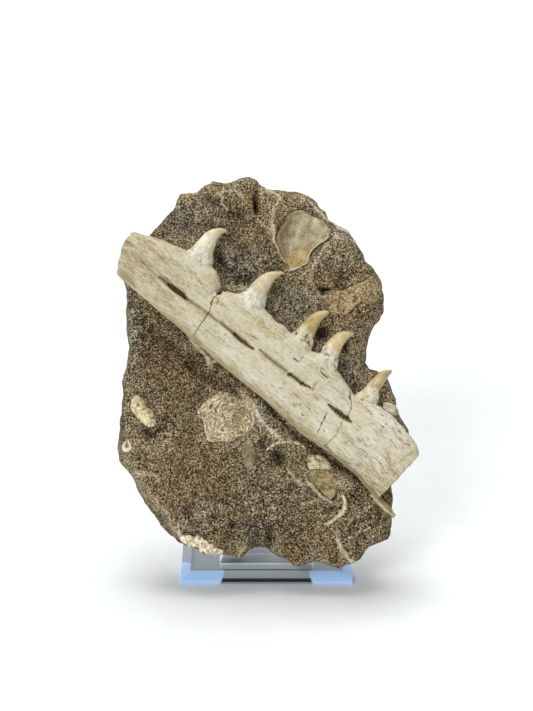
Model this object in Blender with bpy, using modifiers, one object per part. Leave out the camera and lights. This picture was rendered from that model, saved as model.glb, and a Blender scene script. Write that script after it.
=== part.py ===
"""A fossil jaw with five hooked teeth on its block of sandy rock, leaning on a clear acrylic easel.

The fossil is modelled lying face up in its own frame: x to the right, y up the block, z towards the viewer, with
z = 0 at the middle of the block's thickness. An empty then tips all of it back onto the easel. The easel stands in
the world frame, with the origin at the centre of its underside and the viewer on the -Y side.
Places on the fossil's face were read off a photograph taken square to it, in pixels, and from_photo turns them
into metres by way of the easel's real width.
"""

import math

import bmesh
import bpy
import numpy as np
from mathutils import Vector, noise

MM = 0.001

# Driving dimensions of the easel: a three inch square base under a bent strip
STAND_WIDTH = 76 * MM
STAND_DEPTH = 76 * MM
STAND_THICKNESS = 4.6 * MM
STAND_BEVEL = 4.4 * MM
STAND_EDGE = 1.6 * MM
STRIP_WIDTH = 41.5 * MM
STRIP_THICKNESS = 3 * MM
STRIP_BEND = 5 * MM
STRIP_CHAMFER = 1.1 * MM
STRIP_HEIGHT = 66 * MM

# How the fossil sits: its lean, and where its lowest tip is above the base
LEAN = math.radians(22)
TIP_Y = -40.3 * MM
TIP_Z = 8.2 * MM
CLEARANCE = 0.3 * MM

# The photograph's scale
STAND_WIDTH_PX = 173.0
PIXEL = STAND_WIDTH / STAND_WIDTH_PX
PHOTO_CENTRE_PX = (266.5, 355.5)
LOWEST_TIP_PX = 570.0
CAMERA_DISTANCE = 0.95

# The block
ROCK_FRONT = 10 * MM
ROCK_BACK = 16.5 * MM
ROCK_PLATE = 27 * MM
FRONT_ROUNDING = 8 * MM
FRONT_DROP = 6 * MM
BACK_ROUNDING = 16 * MM
BACK_DROP = 9 * MM
ROCK_DEPTH = 6
ROCK_TRIANGLES = 2850
ROCK_SPARE = 0.5 * MM
ROUGHNESS = ((16 * MM, 1.7 * MM), (6 * MM, 0.8 * MM))
ROCK_OUTLINE_PX = [
    (148.8, 236), (153.9, 228), (161, 221), (169.2, 212.5), (177.3, 202.5), (181.5, 193.5), (197.8, 194),
    (204, 187.3), (214, 182.5), (226.3, 183.3), (240.6, 180), (251, 178), (257, 178.8), (261.5, 185.5),
    (271, 190.5), (280, 192), (299.8, 193), (308, 194), (314.5, 200.5), (320.2, 207.8), (326.5, 212),
    (329.8, 220), (337, 223.5), (347, 229), (355, 238.5), (360.2, 247.6), (364.3, 260), (371.5, 267),
    (378.5, 274), (381.7, 284.5), (382.6, 296.5), (380.5, 311), (379.3, 319), (373.3, 327), (369.2, 339.4),
    (366, 350), (365, 362), (368, 370.5), (375, 372.5), (388, 376), (392.7, 389.8), (395, 402), (398, 414.3),
    (404, 424.5), (409, 433), (409, 450), (397, 470), (389.5, 484), (391, 493), (393, 502), (391.5, 516),
    (391.8, 524.5), (390.5, 537), (383.5, 541), (371.2, 544), (365, 551), (359.3, 558.5), (352, 564.3),
    (344.3, 566), (339, 569), (334.5, 568.3), (328, 564), (322, 561), (317, 560), (312, 560.5), (307, 564.3),
    (302, 566), (298, 568.5), (296, 567), (292.5, 560.5), (288.5, 557.2), (280, 556), (273, 551.8),
    (267.5, 546.3), (261, 544.8), (254, 547.3), (249, 548), (245.6, 552), (243.3, 556), (241, 559),
    (237, 558), (231.3, 556), (218.6, 555.3), (205, 553.5), (199, 549.3), (192, 545.6), (179.4, 541.6),
    (171.2, 534.7), (161, 524.5), (153, 514.3), (144.7, 504), (140.5, 489.8), (134.5, 477.5), (128.4, 467.3),
    (122, 459), (119.6, 451), (119.6, 434.7), (120.6, 422.4), (124.3, 412), (125.3, 396), (124.3, 381.6),
    (127.3, 367.3), (129.4, 351), (128.8, 330.6), (128, 310.8), (126.5, 292), (124, 278), (136, 254),
]
# The block's hollows and rises: centre, half length and half width in pixels, turn in degrees, rise in mm
RELIEF_PX = {
    "pit_before_first_tooth": (180, 226, 26, 13, -20, -3.5),
    "pit_behind_first_tooth": (238, 266, 25, 20, -35, -7.5),
    "pit_behind_second_tooth": (290, 306, 22, 17, -45, -5.5),
    "pit_between_third_and_fourth": (322, 334, 9, 8, -40, -4),
    "pit_behind_fourth_tooth": (352, 372, 17, 13, -50, -6),
    "hollow_in_top": (234, 212, 12, 10, 0, -3),
    "slot_in_top": (257, 205, 3, 11, -8, -3.5),
    "rim_of_top": (212, 193, 46, 8, 18, 2),
    "ridge_left_of_shell": (273, 222, 5, 34, 12, 3),
    "dish_of_shell": (302, 238, 24, 30, -35, -2),
    "ridge_below_shell": (322, 262, 26, 5, 50, 1.6),
    "rise_at_right": (362, 290, 22, 34, 0, 3.5),
    "rise_above_right": (340, 250, 20, 18, 0, 2),
    "undercut_at_right": (324, 293, 8, 3, 0, -2.5),
    "ditch_below_jaw_left": (200, 352, 62, 6, -40, -3.5),
    "ditch_below_jaw_right": (318, 452, 66, 5, -40, -4.5),
    "rise_at_left": (165, 450, 36, 44, 0, 2.5),
    "rise_at_bottom_right": (345, 505, 30, 26, -20, 2),
    "valley_at_bottom": (262, 520, 9, 42, 0, -2.5),
    "crack_at_bottom": (269.5, 536, 2.4, 20, 0, -4),
    "mouth_of_burrow": (277, 458, 9, 8, 0, -4.5),
    "hole_left_of_valley": (230, 523, 5, 4, 0, -2.5),
    "hole_at_rib": (329, 510, 5, 4, 0, -2.5),
    "hollow_at_lump": (160, 432, 20, 9, 40, -2),
}
# Its back's rises, in the same way: here it is drawn in above the easel's foot
BACK_RELIEF_PX = {
    "undercut_above_foot": (300, 574, 46, 14, 0, 8),
    "hollow_in_back": (215, 300, 40, 55, 20, 2),
    "step_in_back": (340, 400, 30, 60, -15, 3),
}
# The lower left edge is a broken face that falls away from this line
BREAK_LINE_PX = ((122, 452), (182, 536))
BREAK_SLOPE = 0.9

# The jaw bone, in its own frame: s along it, t up towards the teeth, both in mm from its lower left corner
JAW_START_PX = (112.9, 271.5)
JAW_TURN = math.radians(-40.5)
JAW_MIDDLE = 14 * MM
JAW_FRONT_HALF = 9 * MM
JAW_BACK_HALF = 7 * MM
JAW_SQUARENESS = 2.7
JAW_SECTIONS = 34
JAW_POINTS = 18
JAW_LOWER_MM = [(-8, 1), (2, 0), (14, 0), (45, 0.3), (61, -0.2), (86, 0.6), (106, -0.2), (121, 0.9), (138, 0.9), (150, -0.8), (160, -1)]
JAW_UPPER_MM = [
    (-8, 16), (-5, 17.6), (1.6, 22.1), (6.5, 24.5), (14.6, 27.2), (19.6, 30.2), (31, 29), (36, 26.4), (40, 25.3),
    (46, 29.4), (58, 30), (62, 29.2), (75, 29.2), (91, 30), (103, 28.6), (112, 26.6), (118, 28.8), (126, 30),
    (140, 29), (148, 26.4), (156, 24.5),
]
JAW_LEFT_END_MM = [(0, 2.4), (10, -3), (18, -5), (30, 3)]
JAW_RIGHT_END_MM = [(0, 150.2), (6, 153), (16, 153.4), (30, 152.4)]
JAW_GROOVE_MM = [(0, 9), (18, 11), (33, 12.5), (50, 14.1), (68.7, 14.3), (96, 16.6), (120, 17.7), (160, 19)]
JAW_GROOVE_DEPTH = 0.9 * MM
# Each nerve opening: middle s and t, half length, half width, turn in degrees
JAW_SLOTS_MM = {
    "first_slot": (25.3, 12.0, 7.6, 1.7, 6),
    "second_slot": (62.4, 14.0, 7.0, 1.4, 4),
    "third_slot": (86.0, 16.2, 10.4, 1.3, 4),
    "fourth_slot": (114.6, 17.2, 5.8, 1.6, 4),
}
SLOT_DEPTH = 3.2 * MM

# Each tooth: s and t of the middle of its root, height, half width of its root, all in mm, and lean in degrees
TEETH_MM = {
    "tooth_1": (25.6, 28.6, 16.4, 5.9, 2),
    "tooth_2": (54.2, 29.4, 17.8, 6.0, -2),
    "tooth_3": (81.4, 29.4, 17.8, 5.6, 1),
    "tooth_4": (95.8, 29.6, 17.8, 5.4, 3),
    "tooth_5": (119.6, 28.8, 16.8, 4.6, 1),
}
# A tooth's shape as shares of its height: sideways bend, rise, and half width as a share of the root's
TOOTH_SHAPE = (
    (0.00, -0.10, 1.00), (0.00, 0.00, 1.00), (-0.03, 0.12, 0.86), (-0.06, 0.26, 0.73), (-0.09, 0.44, 0.63),
    (-0.10, 0.62, 0.52), (-0.07, 0.78, 0.38), (-0.01, 0.90, 0.23), (0.06, 0.98, 0.09),
)
TOOTH_LEVEL = 14.2 * MM
TOOTH_FLATNESS = 0.82

# Rounded fragments in the rock: centre, half length, half width in pixels, turn in degrees, half thickness and lift in mm
LUMPS_PX = {
    "bone_patch": (353, 294, 29, 15, 12, 2.6, -1.2),
    "bone_lump": (143.5, 410.5, 18.5, 10, -58, 4.6, 0.2),
    "bone_disc": (231, 418.5, 31, 27.5, -15, 3.0, -1.0),
    "shell_oval": (249, 457, 13.5, 6.6, -80, 2.2, -1.3),
    "shell_flake": (320, 461, 12, 6.5, -8, 2.0, -0.9),
    "bone_bead": (129.5, 446, 5.5, 3.4, 75, 2.2, -0.4),
    "bone_chip": (391.5, 404.5, 5, 2.8, -25, 2.0, 0.9),
}
# Rod-like fragments: points in pixels, half thickness at the middle in mm, lift in mm
RODS_PX = {
    "fish_rib": ([(341.5, 493), (344.6, 502), (342.8, 511), (337, 518), (328.5, 523)], 0.9, 0.5),
    "shell_rim": ([(265.6, 451.5), (270, 445.8), (278.2, 442.6), (287.4, 441), (298.5, 442.5), (305.5, 447.5)], 1.0, 0.3),
    "shell_edge": ([(366, 511), (355.3, 515), (349.5, 524), (340.5, 533), (338, 543)], 0.8, 0.1),
    "bone_crust": ([(177, 535.5), (187, 540), (197, 543), (207, 548), (219, 551.5)], 1.9, 0.2),
}
SPLINTER_PX = [(368, 487), (376, 496), (386, 507), (394.5, 516.5)]
SPLINTER_RADII = (3.6 * MM, 3.2 * MM, 2.2 * MM, 0.7 * MM)
SPLINTER_LEVEL = 9.5 * MM
# Flat fragments: outline in pixels, thickness, lift in mm, and tilt about x and y in degrees
SHELL_PLATE_PX = [
    (296.2, 210.7), (304, 210.5), (311.5, 215.6), (326.5, 223), (331, 232), (326.5, 239.4), (317, 246),
    (310.3, 253.5), (307, 263.3), (297.5, 268.7), (290.7, 270.5), (286.4, 264), (281, 253.5), (276.5, 239.4),
    (279, 230.7), (284.2, 222), (289.7, 213.4),
]
SHELL_FRAGMENT_PX = [(309.2, 471.5), (316, 468), (325, 470), (335.6, 478.5), (336, 495), (331, 500), (322, 492), (313, 482)]
PLATES = {
    "shell_plate": (SHELL_PLATE_PX, 3.4 * MM, 0.4 * MM, 4, 3),
    "shell_fragment": (SHELL_FRAGMENT_PX, 3.0 * MM, 0.3 * MM, 0, -4),
}
PLATE_ROUNDING = 0.5 * MM
PLATE_OPENING = 6 * MM

# Colours, linear
ROCK_COLOUR = (0.150, 0.118, 0.076)
BONE_COLOUR = (0.600, 0.560, 0.420)
TOOTH_COLOUR = (0.500, 0.400, 0.210)
SHELL_COLOUR = (0.380, 0.320, 0.210)
FRAGMENT_COLOUR = (0.420, 0.340, 0.220)
ACRYLIC_COLOUR = (0.800, 0.890, 0.960)


def from_photo(px, py, height=0.0):
    """The point of the fossil's frame that the photograph shows at this pixel, at this height above z = 0."""
    nearness = 1 - height / CAMERA_DISTANCE
    x = (px - PHOTO_CENTRE_PX[0]) * PIXEL * nearness
    y = (LOWEST_TIP_PX - PHOTO_CENTRE_PX[1]) * PIXEL + (PHOTO_CENTRE_PX[1] - py) * PIXEL * nearness
    return Vector((x, y, height))


def clear_scene():
    for obj in list(bpy.data.objects):
        bpy.data.objects.remove(obj, do_unlink=True)


def new_collection(name):
    collection = bpy.data.collections.new(name)
    bpy.context.scene.collection.children.link(collection)
    return collection


def material(name, colour, roughness, transmission=0.0):
    made = bpy.data.materials.new(name)
    made.use_nodes = True
    shader = made.node_tree.nodes["Principled BSDF"]
    shader.inputs["Base Color"].default_value = (*colour, 1)
    shader.inputs["Roughness"].default_value = roughness
    shader.inputs["Metallic"].default_value = 0.0
    shader.inputs["Transmission Weight"].default_value = transmission
    made.diffuse_color = (*colour, 1)
    return made


def add_object(name, data, parent, collection):
    obj = bpy.data.objects.new(name, data)
    obj.parent = parent
    collection.objects.link(obj)
    return obj


def as_part(obj, finish):
    """Gives a piece its finish and smooth shading, with its true edges kept sharp."""
    obj.data.materials.append(finish)
    if obj.type == "MESH":
        obj.data.shade_smooth()
        obj.data.set_sharp_from_angle(angle=math.radians(40))


def as_cutter(obj):
    obj.hide_render = True
    obj.display_type = "WIRE"


def as_mesh(obj):
    """Turns a curve object into a mesh object in its place, with the loose caps welded."""
    bpy.context.view_layer.update()
    evaluated = obj.evaluated_get(bpy.context.evaluated_depsgraph_get())
    mesh = bpy.data.meshes.new_from_object(evaluated)
    shape = bmesh.new()
    shape.from_mesh(mesh)
    bmesh.ops.remove_doubles(shape, verts=shape.verts, dist=0.00001)
    bmesh.ops.recalc_face_normals(shape, faces=shape.faces)
    shape.to_mesh(mesh)
    shape.free()
    made = bpy.data.objects.new("mesh", mesh)
    made.parent = obj.parent
    made.matrix_basis = obj.matrix_basis
    name, collection = obj.name, obj.users_collection[0]
    bpy.data.objects.remove(obj)
    made.name = name
    collection.objects.link(made)
    return made


def cut(obj, cutter):
    modifier = obj.modifiers.new("Cut by " + cutter.name, "BOOLEAN")
    modifier.operation = "DIFFERENCE"
    modifier.solver = "EXACT"
    modifier.object = cutter


# The block of rock


def inset(points, outline):
    """How far each point lies from the nearest edge of a closed outline."""
    nearest = np.full(len(points), np.inf)
    for start, end in zip(outline, np.roll(outline, -1, axis=0)):
        edge = end - start
        share = np.clip((points - start) @ edge / (edge @ edge), 0, 1)
        nearest = np.minimum(nearest, np.linalg.norm(points - start - share[:, None] * edge, axis=1))
    return nearest


def edge_drop(distance, radius, drop):
    """The fall of a rounded edge: drop at the outline, none further in than radius."""
    outward = np.clip(1 - distance / radius, 0, 1)
    return drop * (1 - np.sqrt(1 - outward**2))


def rises(table_px, points_px):
    """The sum of a table's smooth rises and hollows, in metres, at places given in pixels."""
    total = np.zeros(len(points_px))
    for px, py, half_length, half_width, turn, rise in table_px.values():
        cos, sin = math.cos(math.radians(turn)), math.sin(math.radians(turn))
        right, up = points_px[:, 0] - px, py - points_px[:, 1]
        along = (right * cos + up * sin) / half_length
        across = (up * cos - right * sin) / half_width
        total += rise * MM * np.exp(-(along**2) - across**2)
    return total


def relief(points_px):
    """The rise of the block's front over its mean height, with the broken face at its lower left."""
    start, end = (np.array(p, float) for p in BREAK_LINE_PX)
    run = (end - start) / np.linalg.norm(end - start)
    outside = (points_px[:, 1] - start[1]) * run[0] - (points_px[:, 0] - start[0]) * run[1]
    return rises(RELIEF_PX, points_px) - np.maximum(outside, 0) * PIXEL * BREAK_SLOPE


def rock_outline():
    return np.array([from_photo(*p)[:2] for p in ROCK_OUTLINE_PX])


def rock_front(px, py):
    """The height of the block's front face at one pixel."""
    distance = inset(np.array([from_photo(px, py)[:2]]), rock_outline())
    rise = relief(np.array([[px, py]], float)) - edge_drop(distance, FRONT_ROUNDING, FRONT_DROP)
    return ROCK_FRONT + float(rise[0])


def uneven_step(place):
    """A smoothly wandering step in three directions, the same every time for the same place."""
    return [noise.noise(place + Vector((0, 0, 40 * axis))) for axis in range(3)]


def shape_rock(mesh):
    """Moves the points of a flat plate to the block's front, back and broken sides."""
    points = np.empty(len(mesh.vertices) * 3)
    mesh.vertices.foreach_get("co", points)
    points = points.reshape(-1, 3)
    distance = inset(points[:, :2], rock_outline())
    in_px = np.column_stack([PHOTO_CENTRE_PX[0] + points[:, 0] / PIXEL, LOWEST_TIP_PX - points[:, 1] / PIXEL])
    front = ROCK_FRONT + relief(in_px) - edge_drop(distance, FRONT_ROUNDING, FRONT_DROP)
    back = -ROCK_BACK + rises(BACK_RELIEF_PX, in_px) + edge_drop(distance, BACK_ROUNDING, BACK_DROP)
    share = points[:, 2] / ROCK_PLATE + 0.5
    points[:, 2] = back + share * (front - back)
    for size, amount in ROUGHNESS:
        points += amount * np.array([uneven_step(Vector(p) / size) for p in points])
    points[:, 2] = np.maximum(points[:, 2], -ROCK_BACK)
    mesh.vertices.foreach_set("co", points.ravel())
    mesh.update()


def make_rock(parent, collection):
    curve = bpy.data.curves.new("rock outline", "CURVE")
    curve.dimensions = "2D"
    curve.fill_mode = "BOTH"
    curve.extrude = ROCK_PLATE / 2
    # The even grid rounds the outline off, so the plate starts a little larger
    curve.offset = ROCK_SPARE
    add_loop(curve, [from_photo(*p) for p in ROCK_OUTLINE_PX])
    plate = as_mesh(add_object("rock_matrix", curve, parent, collection))
    remesh = plate.modifiers.new("Even plate", "REMESH")
    remesh.mode = "SMOOTH"
    remesh.octree_depth = ROCK_DEPTH
    rock = as_mesh(plate)
    shape_rock(rock.data)
    decimate = rock.modifiers.new("Few faces", "DECIMATE")
    rock.data.calc_loop_triangles()
    decimate.ratio = ROCK_TRIANGLES / len(rock.data.loop_triangles)
    return rock


def add_loop(curve, points):
    spline = curve.splines.new("POLY")
    spline.points.add(len(points) - 1)
    for target, point in zip(spline.points, points):
        target.co = (point[0], point[1], 0, 1)
    spline.use_cyclic_u = True


# The jaw bone and its teeth


def between(table_mm, at):
    """Reads a value in metres off a table of (place, value) pairs in mm."""
    places, values = zip(*table_mm)
    return np.interp(at / MM, places, values) * MM


def jaw_section(share, grow):
    """One closed section of the bone, at a share of its length, as points (s, t, z)."""
    middle_s = (share * (JAW_RIGHT_END_MM[1][1] - JAW_LEFT_END_MM[1][1]) + JAW_LEFT_END_MM[1][1]) * MM
    lower, upper = between(JAW_LOWER_MM, middle_s) - grow, between(JAW_UPPER_MM, middle_s) + grow
    points = []
    for i in range(JAW_POINTS):
        angle = math.tau * i / JAW_POINTS
        cos, sin = math.cos(angle), math.sin(angle)
        up = 0.5 - 0.5 * math.copysign(abs(cos) ** (2 / JAW_SQUARENESS), cos)
        out = math.copysign(abs(sin) ** (2 / JAW_SQUARENESS), sin)
        t = lower + up * (upper - lower)
        half = (JAW_FRONT_HALF if out > 0 else JAW_BACK_HALF) * (1.08 - 0.3 * up) + grow
        groove = max(out, 0) * JAW_GROOVE_DEPTH * math.exp(-(((t - between(JAW_GROOVE_MM, middle_s)) / (1.6 * MM)) ** 2))
        left, right = between(JAW_LEFT_END_MM, t) - grow, between(JAW_RIGHT_END_MM, t) + grow
        points.append((left + share * (right - left), t, JAW_MIDDLE + out * half - groove))
    return points


def make_jaw(name, parent, collection, grow=0.0):
    """The bone as a loft through its sections, closed by a face at each broken end."""
    shape = bmesh.new()
    rings = []
    for i in range(JAW_SECTIONS + 1):
        rings.append([shape.verts.new(p) for p in jaw_section(i / JAW_SECTIONS, grow)])
    for one, other in zip(rings, rings[1:]):
        for j in range(JAW_POINTS):
            k = (j + 1) % JAW_POINTS
            shape.faces.new((one[j], one[k], other[k], other[j]))
    shape.faces.new(rings[0])
    shape.faces.new(rings[-1])
    bmesh.ops.triangulate(shape, faces=shape.faces, quad_method="FIXED")
    bmesh.ops.recalc_face_normals(shape, faces=shape.faces)
    mesh = bpy.data.meshes.new(name)
    shape.to_mesh(mesh)
    shape.free()
    return add_object(name, mesh, parent, collection)


def make_slot(name, parent, collection):
    s, t, half_length, half_width, turn = JAW_SLOTS_MM[name]
    bpy.ops.mesh.primitive_uv_sphere_add(segments=14, ring_count=8, radius=1)
    slot = bpy.context.object
    slot.name = name
    for other in list(slot.users_collection):
        other.objects.unlink(slot)
    collection.objects.link(slot)
    slot.parent = parent
    slot.location = (s * MM, t * MM, JAW_MIDDLE + JAW_FRONT_HALF * 0.98)
    slot.rotation_euler = (0, 0, math.radians(turn))
    slot.scale = (half_length * MM, half_width * MM, SLOT_DEPTH)
    as_cutter(slot)
    return slot


def add_tube(name, points, radii, sides, parent, collection):
    """A round rod through these points, as thick at each as its radius says, with closed ends."""
    curve = bpy.data.curves.new(name, "CURVE")
    curve.dimensions = "3D"
    curve.bevel_depth = 1.0
    curve.bevel_resolution = sides // 4
    curve.use_fill_caps = True
    spline = curve.splines.new("POLY")
    spline.points.add(len(points) - 1)
    for target, point, radius in zip(spline.points, points, radii):
        target.co = (*point, 1)
        target.radius = radius
    return as_mesh(add_object(name, curve, parent, collection))


def make_tooth(name, of, parent, collection, grow=0.0):
    """A hooked cone: a rod along a bent line, thinning to its tip, and flatter than it is wide."""
    s, t, height, root, lean = TEETH_MM[of]
    cos, sin = math.cos(math.radians(lean)), math.sin(math.radians(lean))
    points, radii = [], []
    for bend, rise, width in TOOTH_SHAPE:
        sideways, up = bend * height, rise * height
        points.append(((sideways * cos - up * sin) * MM, (up * cos + sideways * sin) * MM, 0))
        radii.append(width * root * MM + grow)
    if grow:
        points[0] = (points[0][0], points[0][1] - grow, 0)
    tooth = add_tube(name, points, radii, 8, parent, collection)
    tooth.location = (s * MM, t * MM, TOOTH_LEVEL)
    tooth.scale = (1, 1, TOOTH_FLATNESS)
    return tooth


# Fragments of bone and shell in the rock


def make_lump(name, of, parent, collection, grow=0.0):
    """A rounded fragment: a sphere flattened into the block's face and made uneven."""
    px, py, half_length, half_width, turn, half_thickness, lift = LUMPS_PX[of]
    shape = bmesh.new()
    bmesh.ops.create_uvsphere(shape, u_segments=12, v_segments=7, radius=1)
    half = Vector((half_length * PIXEL, half_width * PIXEL, half_thickness * MM))
    for vertex in shape.verts:
        uneven = 1 + 0.13 * noise.noise(vertex.co * 2.1 + Vector((px, py, 0)))
        direction = vertex.co.normalized()
        vertex.co = Vector([d * (h * uneven + grow) for d, h in zip(direction, half)])
    # Pocket and piece are split the same way, so that no diagonal of one crosses the other
    bmesh.ops.triangulate(shape, faces=shape.faces, quad_method="FIXED")
    mesh = bpy.data.meshes.new(name)
    shape.to_mesh(mesh)
    shape.free()
    lump = add_object(name, mesh, parent, collection)
    lump.location = from_photo(px, py, rock_front(px, py) + lift * MM)
    lump.rotation_euler = (0, 0, math.radians(turn))
    return lump


def make_rod(name, of, parent, collection, grow=0.0):
    """A rod-like fragment that follows the block's face."""
    path_px, half_thickness, lift = RODS_PX[of]
    points = [from_photo(px, py, rock_front(px, py) + lift * MM) for px, py in path_px]
    last = len(points) - 1
    radii = [half_thickness * MM * (1 - 0.5 * abs(2 * i / last - 1) ** 3) + grow for i in range(last + 1)]
    if grow:
        points[0] += (points[0] - points[1]).normalized() * grow
        points[-1] += (points[-1] - points[-2]).normalized() * grow
    return add_tube(name, points, radii, 8, parent, collection)


def make_splinter(name, of, parent, collection, grow=0.0):
    """The blade of bone that runs on past the jaw's broken right end."""
    points = [from_photo(px, py, SPLINTER_LEVEL) for px, py in SPLINTER_PX]
    if grow:
        points[0] += (points[0] - points[1]).normalized() * grow
        points[-1] += (points[-1] - points[-2]).normalized() * grow
    return add_tube(name, points, [radius + grow for radius in SPLINTER_RADII], 8, parent, collection)


def make_plate(name, of, parent, collection, grow=0.0):
    """A flat fragment: its outline, thickened and tilted with the block's face."""
    outline_px, thickness, lift, tilt_x, tilt_y = PLATES[of]
    middle_px = np.mean(outline_px, axis=0)
    height = rock_front(*middle_px) + lift - thickness / 2
    middle = from_photo(*middle_px, height)
    curve = bpy.data.curves.new(name, "CURVE")
    curve.dimensions = "2D"
    curve.fill_mode = "BOTH"
    # A pocket is as deep as its plate but opens wide above it, so that no rock covers the plate
    above = PLATE_OPENING if grow else 0
    curve.extrude = thickness / 2 - PLATE_ROUNDING + grow + above / 2
    curve.bevel_depth = PLATE_ROUNDING
    curve.bevel_resolution = 0
    curve.offset = grow - PLATE_ROUNDING
    add_loop(curve, [from_photo(*p, height) - middle for p in outline_px])
    plate = add_object(name, curve, parent, collection)
    plate.location = middle + Vector((0, 0, above / 2))
    plate.rotation_euler = (math.radians(tilt_x), math.radians(tilt_y), 0)
    return as_mesh(plate)


# The easel


def make_stand_base(collection):
    """A square acrylic plate whose upper edges are broadly bevelled."""
    shape = bmesh.new()
    bmesh.ops.create_cube(shape, size=1)
    bmesh.ops.scale(shape, vec=(STAND_WIDTH, STAND_DEPTH, STAND_THICKNESS), verts=shape.verts)
    bmesh.ops.translate(shape, vec=(0, 0, STAND_THICKNESS / 2), verts=shape.verts)
    everything = shape.verts[:] + shape.edges[:] + shape.faces[:]
    bmesh.ops.bisect_plane(shape, geom=everything, plane_co=(0, 0, STAND_EDGE), plane_no=(0, 0, 1))
    for vertex in shape.verts:
        if vertex.co.z > STAND_EDGE + CLEARANCE:
            vertex.co.x -= math.copysign(STAND_BEVEL, vertex.co.x)
            vertex.co.y -= math.copysign(STAND_BEVEL, vertex.co.y)
    mesh = bpy.data.meshes.new("stand_base")
    shape.to_mesh(mesh)
    shape.free()
    return add_object("stand_base", mesh, None, collection)


def strip_profile():
    """The bent strip from the side, as (y, z) points: a foot, a bend, and a back that leans as the fossil does."""
    front = -STAND_DEPTH / 2 + STAND_BEVEL + CLEARANCE
    floor = STAND_THICKNESS + CLEARANCE
    # The bend stands where the strip's leaning face just clears the block's back
    bend_z = floor + STRIP_THICKNESS + STRIP_BEND
    depth = (bend_z - TIP_Z) * math.sin(LEAN) + ROCK_BACK + CLEARANCE - STRIP_BEND
    centre = Vector((TIP_Y + depth / math.cos(LEAN), bend_z))
    turn = math.pi / 2 - LEAN
    steps = 7
    rise = Vector((math.sin(LEAN), math.cos(LEAN)))
    outer, inner = [Vector((front, floor))], [Vector((front, floor + STRIP_THICKNESS))]
    for i in range(steps + 1):
        angle = turn * i / steps
        away = Vector((math.sin(angle), -math.cos(angle)))
        outer.append(centre + away * (STRIP_BEND + STRIP_THICKNESS))
        inner.append(centre + away * STRIP_BEND)
    outer.append(outer[-1] + rise * STRIP_HEIGHT)
    inner.append(inner[-1] + rise * STRIP_HEIGHT)
    return outer + inner[::-1]


def make_stand_strip(collection):
    """The bent acrylic strip that the fossil rests on, with polished chamfers along its edges."""
    curve = bpy.data.curves.new("stand_strip", "CURVE")
    curve.dimensions = "2D"
    curve.fill_mode = "BOTH"
    curve.extrude = STRIP_WIDTH / 2
    add_loop(curve, strip_profile())
    strip = add_object("stand_strip", curve, None, collection)
    # Lays the profile in the Y-Z plane: its own x becomes world Y, its own y world Z
    strip.rotation_euler = (math.pi / 2, 0, math.pi / 2)
    strip = as_mesh(strip)
    bevel = strip.modifiers.new("Chamfer", "BEVEL")
    bevel.limit_method = "ANGLE"
    bevel.angle_limit = math.radians(50)
    bevel.width = STRIP_CHAMFER
    bevel.segments = 1
    return strip


def main():
    clear_scene()
    parts = new_collection("fossil_jaw_on_easel")
    cutters = new_collection("cutters")
    rock_finish = material("sandy_rock", ROCK_COLOUR, 0.95)
    bone_finish = material("fossil_bone", BONE_COLOUR, 0.7)
    tooth_finish = material("tooth_enamel", TOOTH_COLOUR, 0.35)
    shell_finish = material("fossil_shell", SHELL_COLOUR, 0.6)
    fragment_finish = material("porous_bone", FRAGMENT_COLOUR, 0.85)
    acrylic_finish = material("clear_acrylic", ACRYLIC_COLOUR, 0.03, transmission=1.0)

    fossil = add_object("fossil_frame", None, None, parts)
    fossil.location = (0, TIP_Y, TIP_Z)
    fossil.rotation_euler = (math.pi / 2 - LEAN, 0, 0)
    jaw_line = add_object("jaw_frame", None, fossil, parts)
    jaw_line.location = from_photo(*JAW_START_PX, JAW_MIDDLE)
    jaw_line.location.z = 0
    jaw_line.rotation_euler = (0, 0, JAW_TURN)

    rock = make_rock(fossil, parts)
    jaw = make_jaw("jaw_bone", jaw_line, parts)
    cut(rock, make_jaw("jaw_bed", jaw_line, cutters, CLEARANCE))
    for name in JAW_SLOTS_MM:
        cut(jaw, make_slot(name, jaw_line, cutters))
    for name in TEETH_MM:
        as_part(make_tooth(name, name, jaw_line, parts), tooth_finish)
        socket = make_tooth(name + "_socket", name, jaw_line, cutters, CLEARANCE)
        cut(jaw, socket)
        cut(rock, socket)

    fragments = [(name, make_lump, fragment_finish) for name in LUMPS_PX]
    fragments += [(name, make_rod, shell_finish) for name in RODS_PX]
    fragments += [(name, make_plate, shell_finish) for name in PLATES]
    fragments += [("jaw_splinter", make_splinter, bone_finish)]
    for name, make, finish in fragments:
        as_part(make(name, name, fossil, parts), finish)
        pocket = make(name + "_pocket", name, fossil, cutters, CLEARANCE)
        cut(rock, pocket)
        if make is make_splinter:
            cut(jaw, pocket)

    for cutter in cutters.objects:
        as_cutter(cutter)
    as_part(rock, rock_finish)
    as_part(jaw, bone_finish)
    as_part(make_stand_base(parts), acrylic_finish)
    as_part(make_stand_strip(parts), acrylic_finish)


main()
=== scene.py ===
"""The looks of the fossil jaw: grainy rock, fibrous bone, enamelled teeth, shells and an acrylic easel.

The rock, the jaw, the teeth and the fragments are modelled again here with all their detail, each in the
place of its own CAD node. The easel's two solids stay and only get their material.
Places on the fossil's face are named in the photograph's pixels, and places on the jaw in mm along and up
the bone.
"""

import itertools
import math

import bmesh
import bpy
import numpy as np
from mathutils import Matrix, Vector


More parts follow.
